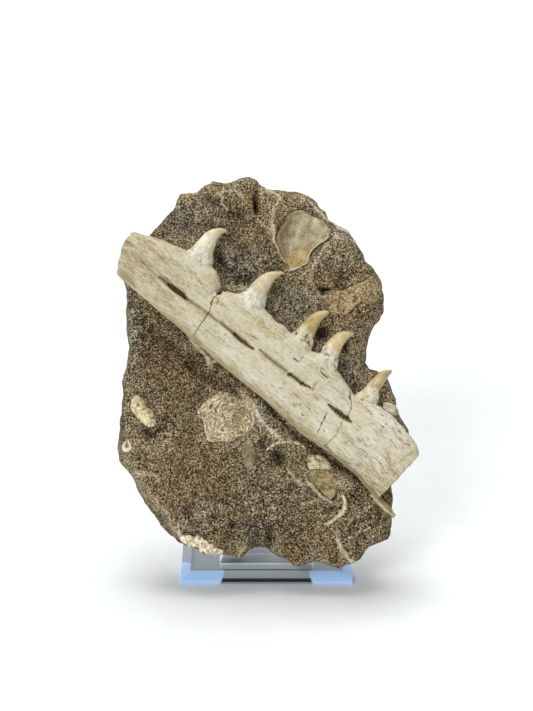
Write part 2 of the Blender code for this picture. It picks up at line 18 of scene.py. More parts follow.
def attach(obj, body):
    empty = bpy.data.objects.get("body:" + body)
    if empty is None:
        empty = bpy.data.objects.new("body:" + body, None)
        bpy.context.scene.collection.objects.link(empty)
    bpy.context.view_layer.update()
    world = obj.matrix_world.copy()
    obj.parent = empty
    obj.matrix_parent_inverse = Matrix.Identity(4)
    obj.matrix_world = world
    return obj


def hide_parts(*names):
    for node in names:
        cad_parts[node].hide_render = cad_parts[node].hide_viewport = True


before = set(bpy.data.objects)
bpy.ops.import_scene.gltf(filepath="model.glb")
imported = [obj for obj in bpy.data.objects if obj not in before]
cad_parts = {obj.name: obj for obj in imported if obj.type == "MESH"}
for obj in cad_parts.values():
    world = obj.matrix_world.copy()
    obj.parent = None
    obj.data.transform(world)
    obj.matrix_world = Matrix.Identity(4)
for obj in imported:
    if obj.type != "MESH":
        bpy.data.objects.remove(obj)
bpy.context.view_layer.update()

MM = 0.001

# The fossil's lean and the place of its lowest tip, and the photograph's scale, as in the CAD source
LEAN = math.radians(22)
TIP_Y = -40.3 * MM
TIP_Z = 8.2 * MM
STAND_WIDTH = 76 * MM
STAND_BEVEL = 4.4 * MM
STAND_THICKNESS = 4.6 * MM
PIXEL = STAND_WIDTH / 173.0
PHOTO_CENTRE_PX = (266.5, 355.5)
PHOTO_HALF_HEIGHT_PX = 355.5
LOWEST_TIP_PX = 570.0
CAMERA_DISTANCE = 0.95
FOSSIL = Matrix.Translation((0, TIP_Y, TIP_Z)) @ Matrix.Rotation(math.pi / 2 - LEAN, 4, "X")
# How high on the fossil's face the middle of the photograph lies
CENTRE_Y = (LOWEST_TIP_PX - PHOTO_CENTRE_PX[1]) * PIXEL

# The block
ROCK_FRONT = 10 * MM
ROCK_BACK = 16.5 * MM
ROCK_PLATE = 27 * MM
FRONT_ROUNDING = 8 * MM
FRONT_DROP = 6 * MM
BACK_ROUNDING = 16 * MM
BACK_DROP = 9 * MM
ROCK_DEPTH = 8
ROCK_SCALE = 0.86
ROUGHNESS = ((16 * MM, 1.7 * MM), (6 * MM, 0.8 * MM))
# How deep the rock lies under a fragment, and how far the lines of its steps wander
BED_DEPTH = 2.0 * MM
STEP_STRAY_PX = 2.2
ROCK_OUTLINE_PX = [
    (148.8, 236), (153.9, 228), (161, 221), (169.2, 212.5), (177.3, 202.5), (181.5, 193.5), (197.8, 194),
    (204, 187.3), (214, 182.5), (226.3, 184.8), (240.6, 182), (251, 180.3), (256.5, 181), (260.8, 187),
    (271, 190.5), (280, 192), (299.8, 193), (308, 194), (314.5, 200.5), (320.2, 207.8), (326.5, 212),
    (329.8, 220), (337, 223.5), (347, 229), (355, 238.5), (360.2, 247.6), (364.3, 260), (371.5, 267),
    (377, 275), (379.7, 284.5), (380.6, 296.5), (379.3, 309), (377.3, 318), (372.3, 327), (368.2, 339.4),
    (366, 350), (365, 362), (368, 370.5), (375, 372.5), (386.5, 377), (390.5, 389.8), (393, 402),
    (397.5, 414.3), (404, 424.5), (409, 433), (409, 450), (397, 470), (388, 484), (388.8, 493),
    (390.8, 502), (389.6, 516), (390, 524.5), (388.8, 536.5), (383, 540.6), (371.2, 544), (365, 551),
    (359.3, 558.5), (352, 564.3), (344.3, 566), (339, 569), (334.5, 568.3), (328, 564), (322, 561),
    (317, 560), (312, 560.5), (307, 564.3), (302, 564.6), (299.3, 566.2), (297, 565), (293, 560.5),
    (288.5, 557.2), (280, 556), (273, 551.8), (267.5, 546.3), (261, 544.8), (254, 547.3), (249, 548),
    (245.6, 552), (243.3, 555), (240.6, 557.4), (236.5, 557), (231.3, 555.6), (218.6, 555.3), (205, 553.5),
    (199, 549.3), (192, 545.6), (179.4, 541.6), (171.2, 534.7), (161, 524.5), (153, 514.3), (144.7, 504),
    (140.5, 489.8), (134.5, 477.5), (127.2, 468), (121, 460), (118.6, 451), (118.2, 434.7), (118.9, 422.4),
    (122, 412), (124.2, 396), (124.3, 381.6), (127.3, 367.3), (129.4, 351), (128.8, 330.6), (128, 310.8),
    (126.5, 292), (124, 278), (136, 254),
]
# The block's hollows and rises: centre, half length and half width in pixels, turn in degrees, rise in mm
RELIEF_PX = {
    "pit_before_first_tooth": (180, 226, 26, 13, -20, -3.5),
    "pit_behind_first_tooth": (238, 266, 25, 20, -35, -5.5),
    "pit_behind_second_tooth": (290, 306, 22, 17, -45, -5.5),
    "pit_between_third_and_fourth": (322, 334, 9, 8, -40, -4),
    "pit_behind_fourth_tooth": (352, 372, 17, 13, -50, -6),
    "hollow_in_top": (234, 212, 12, 10, 0, -3),
    "slot_in_top": (257, 205, 3, 11, -8, -3.5),
    "rim_of_top": (212, 193, 46, 8, 18, 2),
    "ridge_left_of_shell": (273, 222, 5, 34, 12, 3),
    "dish_of_shell": (302, 238, 24, 30, -35, -2),
    "ridge_below_shell": (322, 262, 26, 5, 50, 1.6),
    "rise_at_right": (362, 290, 22, 34, 0, 3.5),
    "rise_above_right": (340, 250, 20, 18, 0, 2),
    "undercut_at_right": (324, 293, 8, 3, 0, -2.5),
    "ditch_below_jaw_left": (200, 352, 62, 6, -40, -3.5),
    "ditch_below_jaw_right": (318, 452, 66, 5, -40, -4.5),
    "rise_at_left": (165, 450, 36, 44, 0, 2.5),
    "rise_at_bottom_right": (345, 505, 30, 26, -20, 2),
    "valley_at_bottom": (262, 520, 9, 42, 0, -2.5),
    "crack_at_bottom": (269.5, 536, 2.4, 20, 0, -4),
    "mouth_of_burrow": (277, 458, 9, 8, 0, -4.5),
    "hole_left_of_valley": (230, 523, 5, 4, 0, -2.5),
    "hole_at_rib": (329, 510, 5, 4, 0, -2.5),
    "hollow_at_lump": (160, 432, 20, 9, 40, -2),
}
BACK_RELIEF_PX = {
    "undercut_above_foot": (300, 574, 46, 14, 0, 8),
    "hollow_in_back": (215, 300, 40, 55, 20, 2),
    "step_in_back": (340, 400, 30, 60, -15, 3),
}
BREAK_LINE_PX = ((122, 452), (182, 536))
BREAK_SLOPE = 0.9
# Finer relief, too low for the CAD solid
FINE_RELIEF_PX = {
    "pore_in_slot": (257.5, 208, 1.8, 3, 0, -3),
    "pore_above_slot": (257, 201, 1.5, 4, 0, -2.5),
    "pore_behind_second_tooth": (266, 264, 2, 1.6, 0, -2),
    "cavity_at_right": (323, 292, 4, 1.6, -15, -2.5),
    "step_right_of_shell": (344, 246, 4, 14, 50, 1),
    "groove_at_disc": (231, 389, 12, 2, -42, -1.6),
    "bank_under_jaw": (319, 453, 66, 6, -40, 4.6),
    "slope_under_jaw": (326, 464, 60, 10, -40, 1.2),
    "bank_under_jaw_left": (198, 353, 62, 7, -40, 3.8),
    "step_at_bottom_left": (190, 512, 4, 16, 25, -1.6),
    "groove_at_bottom_left": (216, 517, 9, 2.5, -35, -1.6),
    "bump_at_bottom_left": (235, 513, 6, 7, 0, 1.4),
    "bump_at_valley": (284, 535, 8, 7, 0, 1.6),
    "notch_at_bottom_right": (345, 557, 2.5, 7, 25, -2),
    "ridge_at_bottom_right": (340, 552, 2.5, 9, 15, 1.5),
    "hollow_left_of_rib": (334, 508, 7, 5, 40, -1.6),
    "ledge_at_left": (124, 420, 3, 26, 2, -1.5),
    "hollow_below_lump": (150, 434, 12, 4, -25, -1.5),
    "hollow_right_of_disc": (261, 443, 4, 5, 0, -1.8),
    "hollow_in_top_curl": (234, 205, 8, 5, 10, -1.4),
    "bump_in_top": (243, 198, 7, 6, 0, 1.6),
    "bump_over_second_pit": (246, 236, 10, 7, -30, 1.2),
    "pebble_at_right": (372, 302, 4, 3, 0, 1),
    "dent_at_fifth_tooth": (356, 388, 6, 5, 0, -1.6),
    "dent_at_third_tooth": (325, 334, 5, 5, 0, -1.4),
    "dent_at_fourth_tooth": (348, 348, 5, 5, 0, -1.4),
}
# Steps in the rock: points in pixels, the rise in mm of the side to the right of the way along them, how
# soft the step is and how far it is felt, both in mm
STEPS_PX = {
    "corner_of_break": ([(119, 462), (133, 480), (147, 503), (160, 518), (176, 531)], -0.9, 0.6, 5),
    "beside_white_line": ([(175.8, 516), (179, 530), (184, 543)], 0.9, 0.4, 4),
    "under_bottom_left": ([(180, 503), (190, 509), (205, 520), (216, 527), (232, 529)], -1.3, 0.6, 5),
    "over_bottom_left": ([(196, 497), (214, 503), (228, 507), (240, 512)], 1.0, 0.8, 5),
    "in_middle": ([(243, 470), (246, 486), (241, 500), (243, 512)], 1.0, 0.7, 6),
    "right_of_valley": ([(273, 505), (269.5, 520), (270.5, 546)], -1.2, 0.5, 6),
    "outer_rim_of_shell": ([(329.6, 229), (328, 248), (318, 257), (310, 275), (312, 291),
                            (322, 306)], 1.7, 0.5, 6),
    "over_bone_patch": ([(315, 292), (331, 289.5), (344, 288), (353, 281.6), (364, 278),
                         (376, 274)], 1.0, 0.5, 5),
    "below_shell_edge": ([(338, 541), (345, 530), (352, 520), (366, 508)], -0.9, 0.5, 5),
    "under_flake": ([(300, 463), (306, 474), (318, 490), (330, 503)], -0.8, 0.5, 4),
    "over_first_pit": ([(226, 246), (240, 240), (256, 244), (270, 254), (284, 266)], 1.2, 0.9, 6),
    "in_top": ([(212, 196), (226, 199), (231, 206), (244, 214), (256, 222), (268, 236)], -1.2, 0.7, 6),
    "over_second_pit": ([(262, 283), (275, 277), (296, 274), (308, 278), (316, 290),
                         (322, 306)], 1.1, 0.9, 6),
    "at_left_edge": ([(127, 392), (124, 410), (121, 430), (123, 452)], -0.9, 0.5, 4),
    "below_jaw_left": ([(148, 330), (170, 348), (190, 368), (214, 386)], 0.9, 1.0, 7),
    "right_of_lump": ([(140, 392), (156, 404), (166, 420), (160, 436)], -0.9, 0.7, 5),
    "at_right": ([(350, 256), (352, 268), (346, 282)], -0.8, 0.8, 6),
    "left_of_fourth_pit": ([(336, 330), (350, 330), (362, 338)], 0.9, 0.8, 5),
}
# Areas of coarser grains: centre, half length and half width in pixels, turn in degrees, strength
COARSE_PX = {
    "first_pit": (238, 268, 20, 15, -20, 1.0),
    "second_pit": (290, 296, 22, 16, -40, 0.7),
    "top_left": (185, 212, 24, 14, -30, 0.6),
    "top_hollow": (236, 208, 14, 12, 0, 0.8),
    "bottom_right": (350, 520, 38, 34, 0, 0.8),
    "bottom_middle": (262, 495, 24, 38, 0, 1.0),
    "bottom_left": (205, 522, 26, 14, 20, 0.8),
    "left_edge": (134, 325, 14, 46, 0, 0.9),
    "by_disc": (262, 430, 14, 22, -30, 0.7),
    "right": (338, 266, 22, 18, 0, 0.6),
    "fourth_pit": (352, 368, 14, 20, 0, 0.6),
    "below_rib": (318, 520, 26, 16, 0, 0.5),
}
# Pale crests and shell edges in the rock: points in pixels, half width in mm, rise in mm, strength of colour
VEINS_PX = {
    "crest_of_top": ([(266, 189.5), (279, 197), (276, 208), (273.5, 224), (274.5, 239), (281, 252),
                      (287, 265)], 0.5, 0.6, 0.85),
    "crest_inside": ([(258, 217.7), (266, 227.5), (273.5, 235)], 0.4, 0.4, 0.8),
    "curl_in_top": ([(219, 193), (225, 197), (224.5, 204), (228, 210)], 0.5, 0.5, 1.2),
    "curls_right_of_it": ([(225, 193), (232, 191.5), (240, 194), (243, 199)], 0.4, 0.4, 0.7),
    "edge_of_top_left": ([(196, 193.5), (203, 188), (212, 184.5)], 0.6, 0.3, 0.7),
    "tip_of_first_tooth": ([(222, 246), (226, 252), (225, 256)], 0.4, 0.3, 0.4),
    "edge_right_of_shell": ([(309, 201), (318, 211), (329, 220), (338, 227), (348, 233),
                             (354, 242)], 0.55, 0.5, 1.0),
    "second_rim_below_shell": ([(324, 248), (319, 255), (314, 264), (307, 272), (299, 274)], 1.1, 0.5, 0.5),
    "outer_rim_below_shell": ([(313, 258), (310, 268), (311, 281), (315, 292), (320, 301),
                               (325, 308)], 0.5, 0.4, 0.6),
    "line_over_valley": ([(243, 512), (252, 513), (259, 511)], 0.6, 0.4, 0.45),
    "white_line_at_left": ([(175.8, 518), (178, 528), (179.5, 535), (183, 540)], 0.45, 0.4, 1.3),
    "flecks_at_left": ([(139, 473.5), (145, 475), (151, 473)], 0.8, 0.3, 0.8),
    "second_fleck_at_left": ([(155, 474), (159, 479)], 0.7, 0.3, 0.7),
    "corner_of_break": ([(131, 462), (150, 489), (166, 512), (177, 533)], 0.9, 0.2, 0.2),
    "edge_of_fragment": ([(288, 470), (297, 478), (303, 482)], 0.7, 0.4, 0.7),
    "rim_of_lower_shell": ([(308, 479.5), (315, 486), (325, 497), (329.5, 501)], 0.6, 0.5, 1.0),
    "edge_by_lower_shell": ([(303, 500), (312, 497), (322, 498)], 0.6, 0.4, 0.6),
    "edge_over_splinter": ([(372, 497), (380, 503)], 0.6, 0.4, 0.4),
    "flake_edge": ([(366, 508), (360, 512), (356.5, 515)], 0.6, 0.4, 0.9),
    "lower_right_crest": ([(337, 536), (338, 545), (343, 552), (348, 560), (353, 564)], 1.0, 0.7, 1.1),
    "lower_right_branch": ([(339, 556), (346, 550), (350, 545)], 0.6, 0.5, 0.35),
    "tip_at_left_spike": ([(240, 556), (243, 549), (246, 545)], 0.8, 0.4, 0.7),
    "grain_below_jaw": ([(189, 341), (196, 348), (205, 356), (211, 364), (216, 362)], 1.1, 0.4, 0.8),
    "grain_by_disc": ([(253, 402), (258, 412), (264, 420), (275, 430), (283, 440)], 1.2, 0.4, 0.8),
    "fleck_over_disc": ([(240, 392), (247, 396), (252, 401)], 0.9, 0.5, 0.6),
    "crumbs_below_shell": ([(324, 252), (331, 256), (338, 260)], 1.0, 0.4, 0.35),
    "short_line_at_lump": ([(136, 436), (138, 446)], 0.5, 0.3, 0.3),
}
# Warm stains, grey zones, darker spots and paler spots of the rock: centre, half length and half width in
# pixels, turn in degrees, strength
WARM_PX = {
    "above_first_tooth": (240, 232, 15, 12, 30, 0.5),
    "left_of_shell": (284, 225, 8, 15, 15, 0.6),
    "lower_left": (178, 470, 26, 16, -10, 0.45),
    "lower_left_wide": (200, 488, 34, 16, -25, 0.35),
    "below_disc": (200, 452, 26, 12, 0, 0.3),
    "right": (345, 325, 22, 20, 0, 0.35),
    "bottom": (284, 536, 9, 8, 0, 0.5),
    "left_spike": (231, 550, 6, 4, 0, 0.9),
    "lower_right": (326, 540, 12, 13, 0, 0.35),
    "lower_right_edge": (344, 556, 8, 9, 30, 0.7),
    "bottom_left_bump": (235, 513, 7, 6, 0, 0.3),
    "below_jaw": (170, 370, 34, 22, -30, 0.35),
    "top_left_corner": (184, 196, 8, 6, 0, 0.4),
}
GREY_PX = {
    "left_edge": (133, 350, 10, 50, 0, 0.5),
    "before_first_tooth": (182, 224, 24, 16, -20, 0.9),
    "first_pit": (240, 266, 26, 16, -20, 0.9),
    "by_disc": (263, 412, 9, 18, -30, 1.0),
    "second_pit": (290, 306, 22, 16, -40, 0.9),
    "third_pit": (323, 333, 8, 8, 0, 0.6),
    "fourth_pit": (350, 365, 18, 24, 0, 0.6),
    "bottom_left": (200, 512, 16, 8, 0, 0.6),
    "bottom": (255, 530, 20, 14, 0, 0.4),
    "patch_right_of_shell": (336, 238, 8, 6, 0, 1.0),
    "below_lump": (152, 432, 14, 8, -30, 0.4),
}
# Darker spots: painted shade in pits, hollows, slots and the burrow, painted shadow under the jaw, the lump
# and the splinter, and darker rock in the broad ones such as left_middle and far_left
DARK_AND_SHADE_PX = {
    "slot_in_top": (257.5, 204, 2.4, 9, 5, 2.2),
    "beside_first_tooth": (220, 260, 4, 12, 15, 1.9),
    "below_first_pit": (240, 277, 10, 5.5, -25, 2.2),
    "top_hollow": (237, 213, 9, 5, 0, 1.3),
    "curl_hollow": (217, 201, 6, 6, 0, 0.9),
    "top_left": (172, 230, 13, 12, 0, 0.4),
    "small_pore": (267, 264, 3, 2.4, 0, 2.4),
    "cavity_at_right": (323, 291.5, 5.5, 1.8, -15, 2.6),
    "cavity_right_end": (338, 288.5, 6, 1.6, 12, 1.6),
    "crevice_by_shell": (329, 238, 1.8, 4, 20, 1.4),
    "third_pit": (322, 333, 7, 5, -40, 0.8),
    "fourth_pit": (348, 349, 6, 6, 0, 0.7),
    "above_fifth_tooth": (357, 386, 9, 8, 0, 0.3),
    "burrow": (275, 456, 8, 7, 0, 1.6),
    "beside_lower_crest": (331, 557, 5, 7, 0, 1.0),
    "in_lower_crest": (345.5, 553, 1.8, 7, 15, 1.8),
    "over_lower_crest": (344, 534, 3, 5, 0, 0.9),
    "right_of_lower_crest": (354, 552, 3, 6, 20, 0.9),
    "rib_hollow": (330, 510, 6, 3.5, 20, 1.2),
    "crack_at_bottom": (269.5, 534, 1.6, 16, 0, 1.6),
    "crack_over_valley": (255.5, 497, 1.6, 8, 0, 0.9),
    "bottom_left_step": (188, 509, 7, 7, 0, 1.1),
    "bottom_left_streak": (216, 517, 9, 3.5, -35, 1.0),
    "bottom_left_hole": (231, 523, 5, 3.5, 20, 1.6),
    "below_lump": (152, 433, 13, 4, -15, 0.45),
    "arc_by_lump": (167, 424, 10, 2.6, 52, 1.0),
    "arc_below_lump": (151, 437, 9, 2.6, 8, 0.7),
    "streak_by_lump": (184, 407, 7, 2, 45, 0.8),
    "right_of_lump": (176, 413, 7, 10, -10, 0.9),
    "beside_left_edge": (122, 426, 6, 8, 0, 0.8),
    "right_of_disc": (260, 443, 5, 6, 0, 1.1),
    "groove_at_disc": (229, 388, 11, 3, -42, 0.9),
    "below_jaw": (272, 408, 34, 2.6, -44, 2.8),
    "below_jaw_middle": (298, 434, 14, 2.4, -46, 1.8),
    "band_under_jaw": (270, 410, 30, 6, -43, 0.9),
    "band_under_jaw_left": (208, 369, 24, 7, -40, 1.2),
    "band_under_jaw_right": (322, 453, 34, 7, -41, 1.1),
    "band_left_of_jaw": (172, 343, 20, 9, -40, 0.9),
    "below_jaw_right": (334, 461, 42, 2.4, -39, 2.6),
    "dish": (361, 504, 7, 4, 40, 0.8),
    "below_jaw_left": (158, 336, 30, 8, -41, 0.8),
    "below_jaw_edge": (213, 376, 20, 7, -38, 1.2),
    "left_of_disc": (190, 364, 18, 8, -40, 1.0),
    "under_shell_middle": (315, 520, 9, 5, 0, 0.6),
    "below_jaw_wide": (172, 384, 42, 22, -35, 0.42),
    "left_of_shell": (279, 262, 6, 6, 0, 0.6),
    "pebble_at_right": (371, 302, 5, 4, 0, 0.7),
    "top_edge": (214, 195, 12, 6, 0, 0.45),
    "left_of_first_tooth": (150, 246, 18, 16, 0, 0.3),
    "bottom_wide": (272, 524, 60, 24, 0, 0.75),
    "lower_middle": (262, 485, 45, 18, 0, 0.45),
    "under_splinter": (375, 514, 10, 14, -20, 1.5),
    "over_second_pit": (262, 245, 5, 5, 0, 0.3),
    "lower_right_side": (358, 500, 14, 22, -20, 0.7),
    "low_right": (362, 522, 28, 20, 0, 0.7),
    "above_first_tooth": (238, 226, 11, 12, -20, 0.8),
    "first_pit": (236, 271, 12, 9, -20, 1.4),
    "below_shell": (298, 284, 13, 6, 0, 0.35),
    "beside_shell": (333, 220, 8, 7, 0, 0.8),
    "right_middle": (334, 270, 26, 16, 0, 0.5),
    "right_high": (352, 254, 14, 10, -30, 0.5),
    "right_low": (362, 317, 9, 10, 0, 0.6),
    "left_middle": (154, 344, 24, 21, -20, 1.2),
    "far_left": (138, 318, 10, 17, 0, 1.2),
    "lower_left": (150, 470, 22, 30, 20, 0.2),
    "top_right": (322, 262, 4, 9, 20, 0.5),
}
# Paler spots of the rock; the one at (300, 470) is painted light over a shadow
PALE_PX = {
    "patch_right_of_shell": (336, 238, 8, 6, 0, 0.9),
    "below_patch": (332, 256, 8, 4, -35, 0.5),
    "bottom_left_bump": (235, 513, 6, 6, 0, 0.5),
    "left_spike": (231, 550, 5, 3, 0, 0.7),
    "bottom": (284, 537, 7, 6, 0, 0.4),
    "lower_right_edge": (346, 560, 6, 4, -30, 0.6),
    "top_left_corner": (183, 194, 8, 4, 0, 0.5),
    "by_disc": (262, 411, 5, 14, -30, 1.0),
    "second_pit": (288, 304, 18, 14, -40, 0.75),
    "first_pit": (240, 262, 16, 10, -30, 0.2),
    "far_left": (133, 358, 8, 22, 0, 0.35),
    "ledge_under_notch": (217, 274, 8, 2.0, -50, 2.4),
    "ledge_by_notch": (238, 287, 12, 2.6, -8, 2.2),
    "fleck_low_left": (147.5, 447.5, 1.4, 1.6, 0, 1.5),
    "fourth_pit": (351, 371, 13, 13, 0, 1.2),
    "right_of_fourth": (346, 323, 10, 7, 0, 0.5),
    "top_middle": (278, 222, 14, 22, 0, 0.6),
    "top_ridge": (300, 200, 14, 8, 20, 0.5),
    "left_of_middle": (226, 432, 20, 12, -20, 0.5),
    "left_edge_middle": (136, 338, 10, 14, 0, 0.35),
    "low_left": (160, 472, 16, 12, 0, 0.4),
    "by_lump": (136, 412, 7, 12, 0, 0.4),
    "pebble_by_ledge": (231, 263, 2, 5, 25, 0.9),
    "right_edge_low": (368, 345, 12, 22, 20, 0.3),
    "under_fragment": (340, 478, 8, 12, -30, 0.5),
    "flake_left": (300, 478, 5, 4, -40, 0.7),
    "below_fragment": (313, 500, 9, 3.5, 10, 0.7),
    "right_edge": (372, 290, 8, 10, 0, 0.9),
    "over_second_tooth": (276, 282, 10, 6, 0, 0.5),
    "left_of_shell": (288, 214, 8, 10, 0, 0.8),
    "crumbs_right_of_shell": (334, 252, 12, 6, -30, 0.5),
    "painted_light_on_shadow": (300, 470, 10, 5, -30, 0.35),
    "right_of_flake": (336, 488, 5, 10, 20, 0.3),
    "break_face": (140, 490, 8, 26, 35, 0.25),
}

# The jaw bone: s along it, t up towards the teeth, both in mm from its lower left corner
JAW_START_PX = (112.9, 271.5)
JAW_TURN = math.radians(-40.5)
JAW_MIDDLE = 14 * MM
JAW_FRONT_HALF = 9 * MM
JAW_BACK_HALF = 7 * MM
JAW_SQUARENESS = 2.7
JAW_SECTIONS = 460
JAW_FRONT_POINTS = 120
JAW_BACK_POINTS = 40
JAW_END_RINGS = 14
JAW_LOWER_MM = [
    (-8, 1), (2, 0), (14, 0), (45, 0.3), (61, -0.2), (86, 0.6), (106, -0.2), (121, 0.9), (138, 0.9),
    (150, -0.8), (160, -1),
]
JAW_UPPER_MM = [
    (-8, 16), (-5, 17.6), (1.6, 22.1), (6.5, 24.5), (14.6, 27.2), (19.6, 30.2), (30, 29.0), (34.5, 27.2),
    (37.6, 25.4), (39.2, 23.4), (41.2, 26.0), (46, 29.6), (58, 30), (62, 29.2), (74, 29.6), (76.5, 31.2),
    (79, 30.2), (84, 29.8), (87, 30.8), (89.5, 32.2), (92.5, 32.2), (95.5, 31.1), (99, 30.4), (103, 29.2),
    (112, 26.6), (118, 28.8), (124.5, 30.4), (131, 30.6), (139, 30.2), (147, 28.6), (152, 26), (158, 24.5),
]
JAW_LEFT_END_MM = [(0, 2.4), (10, -3), (18, -5), (30, 3)]
JAW_RIGHT_END_MM = [(0, 150.7), (8, 151.0), (18, 151.5), (30, 152.2)]
JAW_GROOVE_MM = [(0, 9), (18, 11), (33, 12.5), (50, 14.1), (68.7, 14.3), (96, 16.6), (120, 17.7), (160, 19)]
JAW_GROOVE_DEPTH = 0.5 * MM
# The height at which the photograph sees the bone's face
JAW_FACE = 22 * MM
# Nerve openings and grooves of the bone's face: x, y and half width in pixels along each, then its depth in
# mm, how dark it is inside, in brown fill and painted shade, and how brown its surroundings are
JAW_OPENINGS_PX = {
    "first_slot": ([(168, 284, 0.9), (172, 287, 2.3), (177, 291, 3.0), (181.5, 294.5, 2.7),
                    (185.5, 298, 1.4)], 3.2, 1.0, 0.9),
    "first_slot_start": ([(159.5, 277.5, 1.4), (165, 281, 2.4), (171, 285.5, 2.4)], 1.0, 0.42, 0.9),
    "first_slot_end": ([(183, 296, 2.0), (188.5, 300, 1.4)], 1.2, 0.5, 0.9),
    "first_groove": ([(188, 299.5, 1.5), (194, 304, 1.5), (200, 308, 1.2), (210, 315.5, 1.0), (218, 321, 0.9),
                      (225, 326.5, 1.5)], 0.5, 0.22, 1.0),
    "second_slot_start": ([(222, 324, 1.2), (230, 330, 1.7), (236, 335.5, 1.8)], 1.0, 0.5, 1.0),
    "second_slot": ([(233, 333, 0.8), (238, 337.5, 1.9), (244, 342, 2.1), (249, 346, 1.5),
                     (255.5, 350.3, 0.6)], 3.0, 1.0, 0.8),
    "third_groove": ([(260, 349.5, 0.7), (265, 354.5, 1.4), (270, 358.5, 1.8), (275, 362.5, 2.2),
                      (281, 367, 1.9), (287, 371.5, 1.2)], 1.3, 0.5, 0.8),
    "third_slot": ([(286, 371, 0.8), (291, 374.7, 1.7), (297, 378.8, 2.1), (302, 383, 1.7), (308, 386.5, 0.9),
                    (313, 388.7, 0.5)], 2.8, 1.0, 0.8),
    "notch": ([(223.5, 286.5, 1.5), (221, 290, 1.3), (218.5, 293.5, 0.9)], 1.6, 0.8, 1.0),
    "fourth_slot": ([(328.5, 404.5, 0.9), (333.5, 408.5, 1.7), (340, 414.0, 2.7), (346, 418.5, 2.2),
                     (351.5, 422.3, 0.9)], 1.5, 0.75, 0.9),
    "lower_groove": ([(325, 446, 1.0), (335, 456.5, 2.0), (350, 470, 2.6), (363, 484, 2.6), (376, 498, 2.2)],
                     0.7, 0.1, 0.75),
}
# Brown marks where the bone's skin has flaked, in the same way, with their strength
JAW_MARKS_PX = {
    "left_end_high": ([(139, 243, 1.5), (150, 249, 2.4), (163, 258, 1.4)], 0.6),
    "left_end_middle": ([(123, 257, 1.5), (133, 262, 2.2), (146, 268, 1.2)], 0.5),
    "left_end_low": ([(131, 269, 1.2), (145, 280, 1.8), (158, 289, 1.0)], 0.5),
    "under_first_tooth": ([(186, 265, 0.9), (190, 270, 1.8), (195, 275, 1.4), (201, 284, 1.2)], 0.9),
    "below_first_slot": ([(160, 298, 0.7), (167, 302.5, 1.5), (176, 308.5, 1.0)], 0.7),
    "low_left": ([(154, 297, 0.8), (158, 300.5, 1.0), (160, 302.5, 0.6)], 0.9),
    "right_of_crack": ([(216.5, 304, 0.8), (218.5, 301, 1.0), (222, 305, 1.0), (230, 310, 0.6)], 0.9),
    "patch_top": ([(317.5, 381.5, 0.7), (314.5, 386, 1.5), (312, 391, 0.8)], 1.3),
    "patch_low": ([(313.8, 394.5, 0.7), (316, 397, 1.2), (318.5, 399.5, 0.6)], 1.5),
    "patch_left": ([(308.5, 387.5, 0.6), (311, 389.5, 0.9)], 1.2),
    "above_fourth_slot": ([(320, 396, 1.4), (328, 402, 2.4), (338, 408, 1.6)], 0.55),
    "brown_streak": ([(384, 456, 0.9), (389, 464, 1.5), (392, 472, 0.9)], 1.0),
    "over_second_slot": ([(224, 316, 0.8), (232, 322, 1.4), (240, 328, 0.8)], 0.5),
    "dash_by_second_slot": ([(250, 334.5, 0.6), (255, 338, 1.1), (259, 341, 0.6)], 1.0),
    "long_streak": ([(262, 310, 0.8), (275, 319, 1.3), (290, 331, 0.8)], 0.25),
    "dash_in_middle": ([(320.5, 370.5, 0.7), (327, 375, 1.2), (334, 380, 0.6)], 1.1),
    "high_streak": ([(300, 343, 0.8), (309, 352, 1.4), (318, 359, 0.8)], 0.25),
    "low_streak": ([(284, 397, 0.7), (292, 402.5, 1.3), (300, 406, 0.8)], 0.5),
    "lower_dash": ([(252, 382, 0.6), (258, 387, 1.0), (263, 391, 0.6)], 0.5),
    "right_dash": ([(390, 440, 0.8), (394, 444, 1.5), (398.5, 449, 0.8)], 0.9),
    "right_smudge": ([(386, 450, 1.4), (389, 460, 3.0), (391, 470, 1.6)], 0.9),
    "right_smudge_low": ([(392, 468, 1.2), (395, 474, 2.2), (397, 480, 1.2)], 0.9),
    "right_end_line": ([(399, 462, 0.8), (406, 457, 1.3), (414, 452, 0.8)], 0.8),
    "over_fourth_slot": ([(330, 383, 0.8), (337, 390, 1.2), (343, 396, 0.7)], 0.5),
    "under_fifth_tooth": ([(358, 402, 1.0), (366, 409, 1.6), (374, 417, 0.9)], 0.7),
    "right_streak": ([(368, 424, 0.7), (380, 434, 1.2), (392, 446, 0.7)], 0.5),
    "far_right_streak": ([(386, 425, 0.7), (397, 436, 1.3), (408, 447, 0.8)], 0.6),
}
